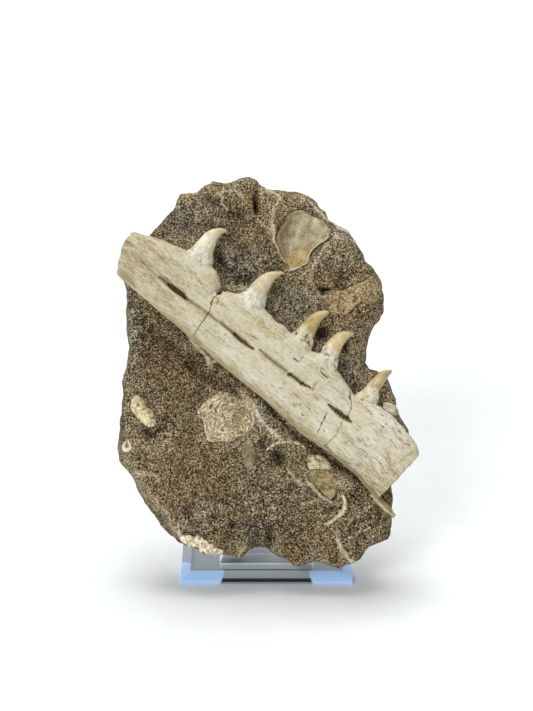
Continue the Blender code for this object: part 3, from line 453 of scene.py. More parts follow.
# Cracks across the bone, in pixels, with their half widths in mm; the line along the top of the fourth slot
# is a painted shadow
JAW_CRACKS_PX = {
    "behind_first_tooth": ([(222, 289.5), (219.5, 293), (214.5, 296.5), (212.4, 300), (211, 305),
                            (209.8, 311), (206.5, 315.5), (203.4, 321), (200, 325), (194, 335)], 0.2),
    "dark_of_first_crack": ([(212, 301), (211.2, 304.5)], 0.36),
    "in_notch": ([(217, 292.5), (220.5, 293.5), (221.5, 290.5)], 0.5),
    "below_notch": ([(219.6, 296), (217.5, 303)], 0.14),
    "left_of_fourth_slot": ([(327.8, 410.5), (327.2, 413.5), (324.8, 416.5), (324.6, 419.5), (321.8, 422),
                             (321.2, 426), (318.5, 430), (317.3, 433.5)], 0.17),
    "dots_of_left_crack": ([(324.7, 416.5), (324.5, 418.5)], 0.36),
    "dot_of_left_crack": ([(321.8, 422.4), (321.4, 424)], 0.34),
    "right_of_fourth_slot": ([(342, 422.5), (340.8, 426.5), (338, 429.5), (337.2, 434), (333.5, 437),
                              (330.5, 440.5), (325, 446)], 0.15),
    "at_fifth_tooth": ([(347.6, 418.5), (349, 413.5), (351.3, 409), (351.6, 403), (350.2, 397),
                        (350.4, 391.5)], 0.20),
    "dot_at_fifth_tooth": ([(350.2, 396), (350, 399)], 0.42),
    "dot_below_fifth_tooth": ([(347.2, 416.5), (348.4, 418)], 0.46),
    # A painted shadow under the bone's edge above the fourth slot
    "shadow_over_fourth_slot": ([(329, 404), (334, 407.5), (341, 411.5), (347.5, 418)], 0.2),
    "bars_in_fourth_slot": ([(336.4, 410), (335.2, 413)], 0.26),
    "second_bar": ([(338.8, 411.5), (337.4, 415)], 0.26),
    "third_bar": ([(341.2, 413), (340, 417.5)], 0.26),
    "fourth_bar": ([(344, 415.5), (343, 419.5)], 0.26),
    "in_middle": ([(293.5, 358), (296, 360.3), (299.5, 362), (303.6, 356.5)], 0.16),
    "dash_in_middle": ([(293.8, 358.2), (296.6, 360.6)], 0.3),
    "under_second_tooth": ([(283, 372.5), (286, 376), (290, 377)], 0.1),
    "right_mark": ([(368.5, 446.5), (372, 444.6), (377.5, 446)], 0.13),
    "lower_line": ([(343, 454), (350, 461), (357, 468)], 0.1),
    "low_end_line": ([(373, 481), (380, 487), (386, 492)], 0.09),
    "mark_by_second_slot": ([(252, 336), (256, 339)], 0.22),
    "mark_at_patch": ([(321.5, 372.5), (324.4, 375.2), (328, 378)], 0.26),
}

# Zones of the bone's face: centre, half length and half width in pixels, turn in degrees, strength
PALE_BONE_PX = {
    "under_first_tooth": (192, 258, 20, 16, -40, 0.5),
    "under_second_tooth": (250, 302, 16, 9, -40, 0.9),
    "lower_middle": (250, 372, 56, 12, -42, 1.0),
    "middle": (300, 350, 22, 10, -42, 0.5),
    "between_cracks": (328, 430, 18, 14, -42, 0.8),
    "fourth_root": (333, 393, 18, 12, -42, 1.0),
    "fifth_root": (378, 408, 22, 12, -44, 1.6),
    "right": (376, 446, 36, 24, -42, 1.3),
    "high_middle": (304, 334, 38, 13, -40, 1.3),
    "lump_by_fourth_root": (322, 353, 7, 6, -40, 1.8),
    "right_end": (394, 432, 26, 13, -42, 1.4),
}
LINED_BONE_PX = {
    "right_high": (385, 425, 34, 14, -45, 1.0),
    "right": (372, 448, 34, 22, -45, 0.6),
    "fourth_root": (322, 372, 26, 9, -40, 0.7),
    "lower_right": (350, 470, 30, 10, -42, 0.7),
    "lower_middle": (285, 398, 30, 9, -42, 0.6),
    "left": (140, 262, 20, 22, -40, 0.6),
}
YELLOW_BONE_PX = {
    "middle_high": (256, 318, 36, 11, -40, 0.6),
    "middle_low": (218, 340, 26, 9, -40, 0.6),
    "left": (190, 290, 34, 22, -40, 0.6),
    "right_high": (392, 446, 26, 16, -45, 0.9),
    "right_low": (382, 474, 26, 12, -45, 1.5),
    "end": (402, 464, 10, 18, 40, 1.2),
    "middle_right": (316, 400, 20, 8, -40, 0.5),
}

# Each tooth's line from its root to its tip: s, t and half width, in mm
TEETH_MM = {
    "tooth_1": [(25, 25, 7.4), (24.7, 29, 6.0), (23.9, 32, 4.6), (23.2, 35.5, 3.65), (22.8, 39, 2.85),
                (23.4, 42, 1.9), (24.6, 44.1, 1.0), (25.8, 45.2, 0.35)],
    "tooth_2": [(54.6, 25, 7.2), (54.4, 29.5, 5.9), (53.9, 32.5, 4.5), (53.3, 35, 3.85), (53, 38, 3.3),
                (53.1, 41, 2.65), (53.9, 43.7, 1.75), (55.3, 46, 0.85), (56.6, 47.5, 0.35)],
    "tooth_3": [(82, 26, 6.0), (81.7, 30, 5.2), (81, 33, 3.9), (80.5, 36, 3.4), (80.1, 39, 2.9),
                (80.25, 42.3, 2.25), (81.2, 45.2, 1.35), (82.4, 47.3, 0.4)],
    "tooth_4": [(96.6, 26, 5.8), (96, 30, 5.0), (94.9, 33.6, 3.85), (93.9, 37, 3.3), (93.6, 40, 2.85),
                (93.9, 42.5, 2.4), (95, 45, 1.5), (96.8, 47.1, 0.4)],
    "tooth_5": [(120, 25.5, 5.2), (119.6, 30, 4.4), (118.7, 33.4, 3.1), (118.3, 37, 2.45), (118.2, 40, 2.2),
                (118.4, 42.4, 1.8), (119, 44.2, 1.15), (119.7, 45.6, 0.45)],
}
# How far up the jaw each tooth's enamel starts in mm, and the colours of its crown, its tip and its root
CROWNS_MM = {
    "tooth_1": (33.5, (226, 219, 192), (186, 167, 128), (220, 215, 196)),
    "tooth_2": (34.2, (210, 196, 160), (190, 170, 126), (220, 215, 196)),
    "tooth_3": (35.2, (182, 160, 100), (198, 180, 130), (212, 204, 178)),
    "tooth_4": (35.8, (216, 200, 156), (184, 164, 120), (216, 210, 188)),
    "tooth_5": (35.0, (190, 172, 126), (164, 142, 98), (214, 204, 174)),
}
TOOTH_LEVEL = 14.2 * MM
TOOTH_FLATNESS = 0.82

# Fragments that lie in the rock's face: outline in pixels, how far the middle and the rim rise, in mm
DISC_PX = [
    (198, 408), (202, 401.5), (211, 395.5), (219, 389), (226, 391), (234, 394), (243, 397), (251, 397.5),
    (254.5, 406), (255.5, 418), (253, 428), (246, 435), (236, 440), (227, 444), (216, 443), (207, 441),
    (205.5, 433), (203, 423), (199, 415),
]
LUMP_PX = [
    (130, 405), (134.5, 395), (140.6, 396.5), (144, 401), (147, 407.5), (151, 409.5), (155, 416),
    (156.4, 423), (152.9, 426.6), (145.7, 427), (139.6, 420.5), (132.4, 412),
]
PATCH_PX = [
    (319, 294), (325, 291.5), (331, 290), (344, 290), (353, 285), (360, 282.5), (366, 280), (371, 276.5),
    (375.5, 276.8), (378.5, 284), (379, 293), (377.5, 302), (373.7, 307), (366, 304), (360, 303),
    (353, 308.7), (348, 315), (340, 315.5), (333, 312), (326.7, 309), (320.5, 302),
]
BEAD_PX = [(127.2, 436), (129, 441), (131.8, 448), (128.5, 451.6), (124, 451.5), (121.8, 447.5), (125, 441.5)]
CHIP_PX = [(382.6, 402.4), (389, 402.5), (395, 405.5), (398.6, 410), (397.5, 415), (390.5, 414), (384, 409.5)]
OVAL_PX = [
    (243, 448), (246, 443.5), (251, 443.5), (254.5, 449), (255.8, 457), (254, 465), (250.5, 470.5),
    (246.5, 469), (243.5, 462), (242.2, 455),
]
FLAKE_PX = [
    (308.5, 458), (313, 455.5), (320, 455), (326, 458.5), (330, 464), (332.5, 469), (325, 469.5), (316, 469),
    (309.5, 469.5), (307.5, 464),
]
SHELL_PLATE_PX = [
    (296.2, 210.7), (304, 210.5), (311.5, 215.6), (326.5, 223), (331, 232), (326.5, 239.4), (317, 246),
    (310.3, 253.5), (307, 263.3), (297.5, 268.7), (290.7, 270.5), (286.4, 264), (281, 253.5), (276.5, 239.4),
    (279, 230.7), (284.2, 222), (289.7, 213.4),
]
SHELL_FRAGMENT_PX = [
    (308, 472), (315, 469.5), (325, 470), (332.5, 474), (336, 482), (337, 490), (334.5, 496), (330, 500.5),
    (325, 496), (316, 485.5), (309, 479.5),
]
FRAGMENTS = {
    "bone_disc": (DISC_PX, 1.6, 0.1),
    "bone_lump": (LUMP_PX, 4.0, 0.8),
    "bone_patch": (PATCH_PX, 1.3, -0.1),
    "bone_bead": (BEAD_PX, 2.0, 1.3),
    "bone_chip": (CHIP_PX, 3.4, 2.0),
    "shell_oval": (OVAL_PX, 0.8, 0.1),
    "shell_flake": (FLAKE_PX, 1.6, 0.8),
    "shell_plate": (SHELL_PLATE_PX, 0.2, 1.0),
    "shell_fragment": (SHELL_FRAGMENT_PX, 1.0, 0.7),
}
# Rod-like fragments: points in pixels, half thickness at the middle in mm, lift in mm
RODS_PX = {
    "fish_rib": ([(341, 492.5), (344.8, 500), (344.6, 508), (340, 515), (331, 521.5),
                  (324.5, 524.5)], 0.75, 1.3),
    "shell_rim": ([(266.3, 450.8), (272, 445.6), (283, 441.6), (298, 443.4), (306, 448.6)], 0.7, 0.5),
    "shell_edge": ([(367, 506.5), (363.5, 511.5), (355.5, 515), (350.5, 521.5), (345, 530), (338, 537),
                    (339.5, 544)], 0.6, 0.5),
    "bone_crust": ([(181, 537.2), (187, 539.2), (196, 541.4), (204, 545.2), (213, 549.4),
                    (221.5, 552.4)], 1.85, 0.7),
}
SPLINTER_PX = [(371, 493.5), (378, 501), (386.5, 508.8), (394.5, 516.5)]
SPLINTER_RADII = (2.2 * MM, 2.3 * MM, 1.8 * MM, 0.8 * MM)
SPLINTER_LEVEL = 9.5 * MM


def from_photo(points_px, height):
    """Where on the fossil, in its own frame, the photograph shows these pixels at these heights."""
    points_px = np.atleast_2d(np.array(points_px, float))
    height = np.broadcast_to(height, len(points_px))
    nearness = 1 - height / CAMERA_DISTANCE
    x = (points_px[:, 0] - PHOTO_CENTRE_PX[0]) * PIXEL * nearness
    y = CENTRE_Y + (PHOTO_CENTRE_PX[1] - points_px[:, 1]) * PIXEL * nearness
    return np.column_stack([x, y, height])


def to_photo(points):
    """The pixels of points near z = 0 in the fossil's frame."""
    return np.column_stack([PHOTO_CENTRE_PX[0] + points[:, 0] / PIXEL, LOWEST_TIP_PX - points[:, 1] / PIXEL])


JAW_START = from_photo([JAW_START_PX], JAW_MIDDLE)[0, :2]
JAW = FOSSIL @ Matrix.Translation((*JAW_START, 0)) @ Matrix.Rotation(JAW_TURN, 4, "Z")


# Noise in numpy, the same on every run

SHUFFLE = np.random.default_rng(11).permutation(256)
SLOPES = np.random.default_rng(12).normal(size=(256, 3))
SLOPES /= np.linalg.norm(SLOPES, axis=1)[:, None]
FEATURES = np.random.default_rng(13).random((256, 3))


def hashed(cell):
    first = SHUFFLE[cell[:, 0] & 255]
    second = SHUFFLE[(first + cell[:, 1]) & 255]
    return SHUFFLE[(second + cell[:, 2]) & 255]


def wander(points, size, seed=0):
    """Smooth noise from about -1 to 1, with lumps of this size, or of these three sizes along x, y and z."""
    place = points / np.array(size) + seed * 17.3
    cell = np.floor(place).astype(int)
    part = place - cell
    fade = part**3 * (part * (part * 6 - 15) + 10)
    total = np.zeros(len(points))
    for corner in itertools.product((0, 1), repeat=3):
        slope = SLOPES[hashed(cell + corner)]
        share = np.prod(np.where(corner, fade, 1 - fade), axis=1)
        total += ((part - corner) * slope).sum(axis=1) * share
    return total * 1.7


def rough(points, size, seed=0, octaves=3):
    """Several layers of noise, each half as large and half as strong as the one before."""
    layers = [wander(points, np.array(size) / 2**i, seed + i) / 2**i for i in range(octaves)]
    return sum(layers)


def pebbles(points, size, seed=0):
    """Distance to the nearest of scattered points, about 0 on a pebble's middle and 1 between pebbles."""
    place = points / np.array(size) + seed * 9.1
    cell = np.floor(place).astype(int)
    part = place - cell
    nearest = np.full(len(points), 9.0)
    for step in itertools.product((-1, 0, 1), repeat=3):
        feature = FEATURES[hashed(cell + step)]
        nearest = np.minimum(nearest, (((np.array(step) + feature) - part) ** 2).sum(axis=1))
    return np.sqrt(nearest)


def smoothstep(low, high, values):
    share = np.clip((values - low) / (high - low), 0, 1)
    return share * share * (3 - 2 * share)


# Meshes


def coordinates(mesh):
    points = np.empty(len(mesh.vertices) * 3)
    mesh.vertices.foreach_get("co", points)
    return points.reshape(-1, 3)


def set_coordinates(mesh, points):
    mesh.vertices.foreach_set("co", points.ravel())
    mesh.update()


def normals(mesh):
    found = np.empty(len(mesh.vertices) * 3)
    mesh.vertices.foreach_get("normal", found)
    return found.reshape(-1, 3)


def paint(mesh, name, values):
    """Stores one number for each point, for the material to read."""
    attribute = mesh.attributes.new(name, "FLOAT", "POINT")
    attribute.data.foreach_set("value", np.asarray(values, np.float32))


def skin(name, rings):
    """A closed mesh over a stack of rings, each end closed by a fan."""
    count, around = rings.shape[:2]
    points = np.vstack([rings.reshape(-1, 3), rings[0].mean(axis=0), rings[-1].mean(axis=0)])
    index = np.arange(count * around).reshape(count, around)
    following = np.roll(index, -1, axis=1)
    quads = np.stack([index[:-1], following[:-1], following[1:], index[1:]], axis=-1).reshape(-1, 4)
    fans = [(a, b, count * around) for a, b in zip(following[0], index[0])]
    fans += [(a, b, count * around + 1) for a, b in zip(index[-1], following[-1])]
    mesh = bpy.data.meshes.new(name)
    mesh.from_pydata(points.tolist(), [], quads.tolist() + fans)
    faces_out(mesh)
    return mesh


def faces_out(mesh):
    shape = bmesh.new()
    shape.from_mesh(mesh)
    bmesh.ops.recalc_face_normals(shape, faces=shape.faces)
    shape.to_mesh(mesh)
    shape.free()


def add_piece(name, mesh, place, finish):
    """Puts a detailed piece in its node's place on the part's body, and keeps its own coordinates on it."""
    own = mesh.attributes.new("local", "FLOAT_VECTOR", "POINT")
    own.data.foreach_set("vector", coordinates(mesh).ravel())
    mesh.transform(place)
    piece = bpy.data.objects.new(name + "_detail", mesh)
    bpy.context.scene.collection.objects.link(piece)
    mesh.materials.append(finish)
    mesh.shade_smooth()
    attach(piece, "root")
    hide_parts(name)
    return piece


# The block of rock


def off_edge(points, start, end):
    """How far each point lies from an edge, and the share of the edge at which it lies beside it."""
    edge = end - start
    share = np.clip((points - start) @ edge / (edge @ edge), 0, 1)
    return np.linalg.norm(points - start - share[:, None] * edge, axis=1), share


def off_line(points, line):
    """How far each point lies from an open line."""
    nearest = np.full(len(points), np.inf)
    for start, end in zip(line, line[1:]):
        nearest = np.minimum(nearest, off_edge(points, start, end)[0])
    return nearest


def inset(points, outline):
    """How far each point lies from the nearest edge of a closed outline."""
    return off_line(points, np.vstack([outline, outline[:1]]))


def is_inside(points, outline):
    """Whether each point lies inside a closed outline."""
    inside = np.zeros(len(points), bool)
    for (ax, ay), (bx, by) in zip(outline, np.roll(outline, -1, axis=0)):
        if ay != by:
            crosses = (ay > points[:, 1]) != (by > points[:, 1])
            inside ^= crosses & (points[:, 0] < ax + (points[:, 1] - ay) * (bx - ax) / (by - ay))
    return inside


def edge_drop(distance, radius, drop):
    outward = np.clip(1 - distance / radius, 0, 1)
    return drop * (1 - np.sqrt(1 - outward**2))


def spots(table_px, points_px):
    """For each row of a table of soft ellipses, its last number and each point's share of it."""
    for px, py, half_length, half_width, turn, value in table_px.values():
        cos, sin = math.cos(math.radians(turn)), math.sin(math.radians(turn))
        right, up = points_px[:, 0] - px, py - points_px[:, 1]
        along = (right * cos + up * sin) / half_length
        across = (up * cos - right * sin) / half_width
        yield value, np.exp(-(along**2) - across**2)


def rises(table_px, points_px):
    """The sum of a table's smooth rises and hollows, in metres, at places given in pixels."""
    return sum(rise * MM * share for rise, share in spots(table_px, points_px))


def steps(points_px):
    """The rise of the rock beside each of its steps, in metres."""
    total = np.zeros(len(points_px))
    for line_px, rise, softness, reach in STEPS_PX.values():
        line = np.array(line_px, float)
        nearest, offset = np.full(len(points_px), np.inf), np.zeros(len(points_px))
        for start, end in zip(line, line[1:]):
            away, _ = off_edge(points_px, start, end)
            across = np.array((start[1] - end[1], end[0] - start[0]))
            closer = away < nearest
            nearest = np.where(closer, away, nearest)
            offset = np.where(closer, (points_px - start) @ across / np.linalg.norm(across), offset)
        nearest, offset = nearest * PIXEL / MM, offset * PIXEL / MM
        climb = smoothstep(-softness, softness, offset) - 0.5
        total += rise * MM * climb * np.exp(-((nearest / reach) ** 2))
    return total


def patches(table_px, points_px):
    """The strongest of a table's soft patches at each place."""
    return np.max([strength * share for strength, share in spots(table_px, points_px)], axis=0)


def relief(points_px):
    """The rise of the block's front over its mean height, with the broken face at its lower left."""
    start, end = (np.array(p, float) for p in BREAK_LINE_PX)
    run = (end - start) / np.linalg.norm(end - start)
    outside = (points_px[:, 1] - start[1]) * run[0] - (points_px[:, 0] - start[0]) * run[1]
    return rises(RELIEF_PX, points_px) - np.maximum(outside, 0) * PIXEL * BREAK_SLOPE


ROCK_OUTLINE = from_photo(ROCK_OUTLINE_PX, 0)[:, :2]


def rock_front(points_px):
    """The height of the block's front face at these pixels."""
    points_px = np.atleast_2d(np.array(points_px, float))
    distance = inset(from_photo(points_px, 0)[:, :2], ROCK_OUTLINE)
    return ROCK_FRONT + rock_relief(points_px) - edge_drop(distance, FRONT_ROUNDING, FRONT_DROP)


def rock_plate():
    """A flat plate of the block's outline, divided into an even fine grid."""
    curve = bpy.data.curves.new("rock outline", "CURVE")
    curve.dimensions = "2D"
    curve.fill_mode = "BOTH"
    curve.extrude = ROCK_PLATE / 2
    spline = curve.splines.new("POLY")
    spline.points.add(len(ROCK_OUTLINE) - 1)
    for target, (x, y) in zip(spline.points, ROCK_OUTLINE):
        target.co = (x, y, 0, 1)
    spline.use_cyclic_u = True
    plate = bpy.data.objects.new("plate", curve)
    bpy.context.scene.collection.objects.link(plate)
    mesh = evaluated_mesh(plate)
    welded = bmesh.new()
    welded.from_mesh(mesh)
    bmesh.ops.remove_doubles(welded, verts=welded.verts, dist=0.01 * MM)
    welded.to_mesh(mesh)
    welded.free()
    solid = bpy.data.objects.new("solid", mesh)
    bpy.context.scene.collection.objects.link(solid)
    remesh = solid.modifiers.new("Fine grid", "REMESH")
    remesh.mode = "SMOOTH"
    remesh.octree_depth = ROCK_DEPTH
    remesh.scale = ROCK_SCALE
    fine = evaluated_mesh(solid)
    bpy.data.objects.remove(plate)
    bpy.data.objects.remove(solid)
    return fine


def evaluated_mesh(obj):
    bpy.context.view_layer.update()
    return bpy.data.meshes.new_from_object(obj.evaluated_get(bpy.context.evaluated_depsgraph_get()))


def bed_depth(in_px):
    """How deep the rock gives way to each fragment that lies in its face."""
    depth = np.zeros(len(in_px))
    for outline_px, _, _ in FRAGMENTS.values():
        outline = np.array(outline_px, float)
        near = np.flatnonzero(((in_px > outline.min(axis=0)) & (in_px < outline.max(axis=0))).all(axis=1))
        within = near[is_inside(in_px[near], outline)]
        depth[within] = BED_DEPTH * smoothstep(0.3, 3.0, inset(in_px[within], outline))
    return depth


def rock_relief(in_px):
    """The rise of the block's front, with all its steps and dents. The steps' lines wander a little."""
    flat = np.column_stack([in_px * PIXEL, in_px[:, 0] * 0])
    strayed = in_px + STEP_STRAY_PX * np.column_stack([rough(flat, 5 * MM, seed, 3) for seed in (8, 9)])
    lumps = 0.9 * MM * rough(flat, 9 * MM, 15, 3)
    return relief(in_px) + rises(FINE_RELIEF_PX, in_px) + steps(strayed) + lumps


def cavity(in_px, height, reach_px):
    """How far the rock lies below what surrounds it at this distance, in mm."""
    around = [
        rock_relief(in_px + reach_px * np.array((math.cos(turn), math.sin(turn))))
        for turn in np.linspace(0, math.tau, 6, endpoint=False)
    ]
    return (sum(around) / len(around) - height) / MM


def vein_share(points, in_px):
    """The colour and the rise of the pale crests at each point."""
    colour, rise_there = np.zeros(len(points)), np.zeros(len(points))
    for line_px, half_width, rise, strength in VEINS_PX.values():
        away = off_line(in_px, np.array(line_px, float)) * PIXEL / MM
        away = away + 0.30 * wander(points, 1.6 * MM, seed=5)
        share = np.exp(-((away / half_width) ** 2))
        colour = np.maximum(colour, strength * share)
        rise_there = np.maximum(rise_there, rise * MM * share)
    return colour, rise_there


def make_rock():
    mesh = rock_plate()
    points = coordinates(mesh)
    in_px = to_photo(points)
    distance = inset(points[:, :2], ROCK_OUTLINE)
    hollow = rock_relief(in_px)
    front = ROCK_FRONT + hollow - edge_drop(distance, FRONT_ROUNDING, FRONT_DROP)
    vein, vein_rise = vein_share(points, in_px)
    back = -ROCK_BACK + rises(BACK_RELIEF_PX, in_px) + edge_drop(distance, BACK_ROUNDING, BACK_DROP)
    share = points[:, 2] / ROCK_PLATE + 0.5
    faces_viewer = smoothstep(0.6, 0.95, share)
    points[:, 2] = back + share * (front + vein_rise - bed_depth(in_px) - back)
    for size, amount in ROUGHNESS:
        points += amount * np.column_stack([wander(points, size, seed) for seed in (1, 2, 3)])
    set_coordinates(mesh, points)
    coarse = patches(COARSE_PX, in_px) * faces_viewer
    clods = (0.26 + 0.40 * coarse) * MM * (0.55 - pebbles(points, 5.5 * MM, 3))
    grain = (0.18 + 0.22 * coarse) * MM * rough(points, 3.0 * MM, 21, 2)
    grain += (0.08 + 0.26 * coarse) * MM * rough(points, 1.3 * MM, 24, 2)
    points += normals(mesh) * (grain + clods)[:, None]
    points[:, 2] = np.maximum(points[:, 2], -ROCK_BACK)
    set_coordinates(mesh, points)
    paint(mesh, "vein", vein * faces_viewer)
    paint(mesh, "coarse", coarse)
    # Painted shade: the rock is darker where it lies below its surroundings and between clods, lighter where
    # it stands up
    shade = 0.9 * cavity(in_px, hollow, 4) + 0.45 * cavity(in_px, hollow, 10)
    shade = shade + np.clip(-hollow / (9 * MM), -0.3, 0.8)
    paint(mesh, "hollow", np.clip(shade, -1.3, 1.6) * faces_viewer - 0.6 * clods / MM)
    # The dark spots are partly painted shade and shadow, and one pale spot is painted light
    for label, table in (("warm", WARM_PX), ("grey", GREY_PX), ("dark", DARK_AND_SHADE_PX), ("pale", PALE_PX)):
        paint(mesh, label, patches(table, in_px) * faces_viewer)
    add_piece("rock_matrix", mesh, FOSSIL, rock_material())


# The jaw bone


def between(table_mm, at):
    """Reads values in metres off a table of (place, value) pairs in mm."""
    places, values = zip(*table_mm)
    return np.interp(at / MM, places, values) * MM


def jaw_angles():
    """Places round a section, closer together in front, as angles from the lower edge over the front."""
    front = np.linspace(0, math.pi, JAW_FRONT_POINTS, endpoint=False)
    back = np.linspace(math.pi, math.tau, JAW_BACK_POINTS, endpoint=False)
    return np.concatenate([front, back])


def jaw_grid(share, angle):
    """The bone's smooth skin at shares of its length and angles round its sections, as s, t, z."""
    middle_s = (share * (JAW_RIGHT_END_MM[1][1] - JAW_LEFT_END_MM[1][1]) + JAW_LEFT_END_MM[1][1]) * MM
    ragged = np.column_stack([middle_s, middle_s * 0, middle_s * 0])
    lower = between(JAW_LOWER_MM, middle_s) + 0.25 * MM * rough(ragged, 9 * MM, 31)
    upper = between(JAW_UPPER_MM, middle_s) + 0.55 * MM * rough(ragged, 6 * MM, 32, 4)
    cos, sin = np.cos(angle), np.sin(angle)
    up = 0.5 - 0.5 * np.sign(cos) * np.abs(cos) ** (2 / JAW_SQUARENESS)
    out = np.sign(sin) * np.abs(sin) ** (2 / JAW_SQUARENESS)
    t = lower + up * (upper - lower)
    half = np.where(out > 0, JAW_FRONT_HALF, JAW_BACK_HALF) * (1.08 - 0.3 * up)
    z = JAW_MIDDLE + out * half
    left, right = between(JAW_LEFT_END_MM, t), between(JAW_RIGHT_END_MM, t)
    across = np.column_stack([t * 0, t, z])
    left = left + 0.7 * MM * rough(across, 5 * MM, 33)
    right = right + 0.35 * MM * rough(across, 5 * MM, 34)
    return np.column_stack([left + share * (right - left), t, z])


def on_jaw(points_px):
    """Places along and up the bone, in metres, of points of its face given in pixels."""
    flat = from_photo(points_px, JAW_FACE)[:, :2] - JAW_START
    cos, sin = math.cos(JAW_TURN), math.sin(JAW_TURN)
    return np.column_stack([flat @ (cos, sin), flat @ (-sin, cos)])


def stroke(points, places_px):
    """A stroke of changing width on the bone's face: 1 on its middle line, 0 at its edge, less outside."""
    places_px = np.array(places_px, float)
    line, half = on_jaw(places_px[:, :2]), places_px[:, 2] * PIXEL
    share = np.full(len(points), -9.0)
    for start, end, half_start, half_end in zip(line, line[1:], half, half[1:]):
        away, at = off_edge(points, start, end)
        share = np.maximum(share, 1 - away / (half_start + at * (half_end - half_start)))
    return share


def shaken(points, amount):
    """The points' s and t, moved about a little, more along the fibres than across them."""
    along = 1.6 * amount * rough(points, (3 * MM, 1.2 * MM, 3 * MM), 41)
    across = amount * rough(points, (4 * MM, 1.0 * MM, 3 * MM), 43)
    return points[:, :2] + np.column_stack([along, across])


def crack_offset(points):
    """The distance to the nearest crack, in its half widths."""
    flat = points[:, :2] + 0.22 * MM * np.column_stack([wander(points, 1.8 * MM, seed) for seed in (44, 45)])
    offset = np.full(len(points), 9.0)
    for line_px, half_width in JAW_CRACKS_PX.values():
        offset = np.minimum(offset, off_line(flat, on_jaw(line_px)) / (half_width * MM))
    return offset


def openings(points):
    """The depth of the bone's openings at each point, how dark they are inside in brown fill and painted
    shade, and how brown it is there.
    """
    flat = shaken(points, 0.28 * MM)
    depth, dark, stain = (np.zeros(len(points)) for _ in range(3))
    for places_px, deep, darkness, browning in JAW_OPENINGS_PX.values():
        share = stroke(flat, places_px)
        depth = np.maximum(depth, deep * MM * smoothstep(-0.05, 0.75, share))
        dark = np.maximum(dark, darkness * smoothstep(-0.25, 0.35, share))
        stain = np.maximum(stain, browning * smoothstep(-0.75, 0.15, share))
    return depth, dark, stain


def marks(points):
    """How strongly the bone's face is marked at each point."""
    flat = shaken(points, 0.4 * MM)
    shares = [value * smoothstep(-0.3, 0.6, stroke(flat, line)) for line, value in JAW_MARKS_PX.values()]
    return np.max(shares, axis=0)


def jaw_rises(points):
    """How far the bone stands out. Its fibres run along the jaw, so every noise here is long in s."""
    fibre = 0.15 * MM * rough(points, (14 * MM, 1.5 * MM, 1.5 * MM), 51)
    fibre += 0.10 * MM * rough(points, (5 * MM, 0.7 * MM, 0.7 * MM), 54, 2)
    swell = 0.5 * MM * rough(points, (30 * MM, 9 * MM, 9 * MM), 57, 2)
    return fibre + swell


def jaw_dents(points, front, depth, mark, crack):
    """How far the openings, the groove, the marks, the cracks and the pits go into the bone."""
    groove = (points[:, 1] - between(JAW_GROOVE_MM, points[:, 0])) / (2.2 * MM)
    pits = 0.30 * MM * smoothstep(0.55, 0.85, rough(points, (2.6 * MM, 0.7 * MM, 0.7 * MM), 61, 2))
    inward = (depth + JAW_GROOVE_DEPTH * np.exp(-(groove**2)) + 0.25 * MM * mark) * front
    return inward + (0.4 * MM * np.exp(-(crack**2)) * front + pits)


def jaw_zones(points, angle):
    """The bone's tan, pale, yellow and lined zones, and the painted shade of its lower side, with what its
    ends have of each.
    """
    s = points[:, 0] / MM
    cos, sin = math.cos(JAW_TURN), math.sin(JAW_TURN)
    flat = JAW_START + np.column_stack([points[:, :2] @ (cos, -sin), points[:, :2] @ (sin, cos)])
    face_px = to_photo(flat)
    above_edge = points[:, 1] / MM - between(JAW_LOWER_MM, points[:, 0]) / MM
    above_edge = above_edge + 1.2 * rough(points, 5 * MM, 66, 2)
    # Tan near the lower edge: partly the bone's own colour, partly painted shade where it turns under
    low_band = smoothstep(6.0, 0.8, above_edge) * smoothstep(24, 46, s)
    low_band = low_band * (0.75 + 0.25 * smoothstep(84, 104, s))
    # Painted shade along the lower edge, where the bone turns under
    low_edge_shade = 0.85 * smoothstep(3.6, 0.2, above_edge) * smoothstep(16, 34, s)
    return {
        "tan": (smoothstep(36, 2, s) + 0.35 * smoothstep(136, 153, s) + low_band, 0.9),
        "pale": (patches(PALE_BONE_PX, face_px), 0),
        "yellow": (patches(YELLOW_BONE_PX, face_px), 0.8),
        "lined": (patches(LINED_BONE_PX, face_px), 0),
        # Painted shade on the lower side and back, and along the lower edge
        "under": (np.maximum(smoothstep(0.35, -0.5, np.sin(angle)), low_edge_shade), 0.5),
    }


def make_jaw():
    angles = jaw_angles()
    rows = JAW_SECTIONS + 1
    share = np.repeat(np.linspace(0, 1, rows), len(angles))
    angle = np.tile(angles, rows)
    points = jaw_grid(share, angle)
    front = smoothstep(0.05, 0.5, np.clip(np.sin(angle), 0, 1))
    depth, dark, stain = openings(points)
    mark = marks(points)
    crack = np.where(front > 0.3, crack_offset(points), 9)
    inward = jaw_dents(points, front, depth, mark, crack)
    away = points - jaw_centres(points)
    away[:, 0] = 0
    away /= np.linalg.norm(away, axis=1)[:, None]
    points = points + away * jaw_rises(points)[:, None]
    points[:, 2] -= inward * front
    rings = points.reshape(rows, len(angles), 3)
    rings = np.concatenate([end_rings(rings[0], -1)[::-1], rings, end_rings(rings[-1], 1)])
    mesh = skin("jaw_bone", rings)
    painted_on = {
        "slot": (dark * front, 0),
        "stain": (stain * front, 0.3),
        "mark": (mark * front, 0.2),
        "crack": (np.minimum(crack, 9), 9),
    }
    painted_on.update(jaw_zones(points, angle))
    for label, (values, at_ends) in painted_on.items():
        ends = np.full(JAW_END_RINGS * len(angles), at_ends, float)
        paint(mesh, label, np.concatenate([ends, values, ends, [at_ends, at_ends]]))
    add_piece("jaw_bone", mesh, JAW, jaw_material())


def jaw_centres(points):
    s = points[:, 0]
    t = (between(JAW_LOWER_MM, s) + between(JAW_UPPER_MM, s)) / 2
    # The middle line is kept inside the bone, level with each point where the bone is broad
    level = np.clip(points[:, 1], t - 6 * MM, t + 5 * MM)
    return np.column_stack([s, level, np.full(len(s), JAW_MIDDLE)])


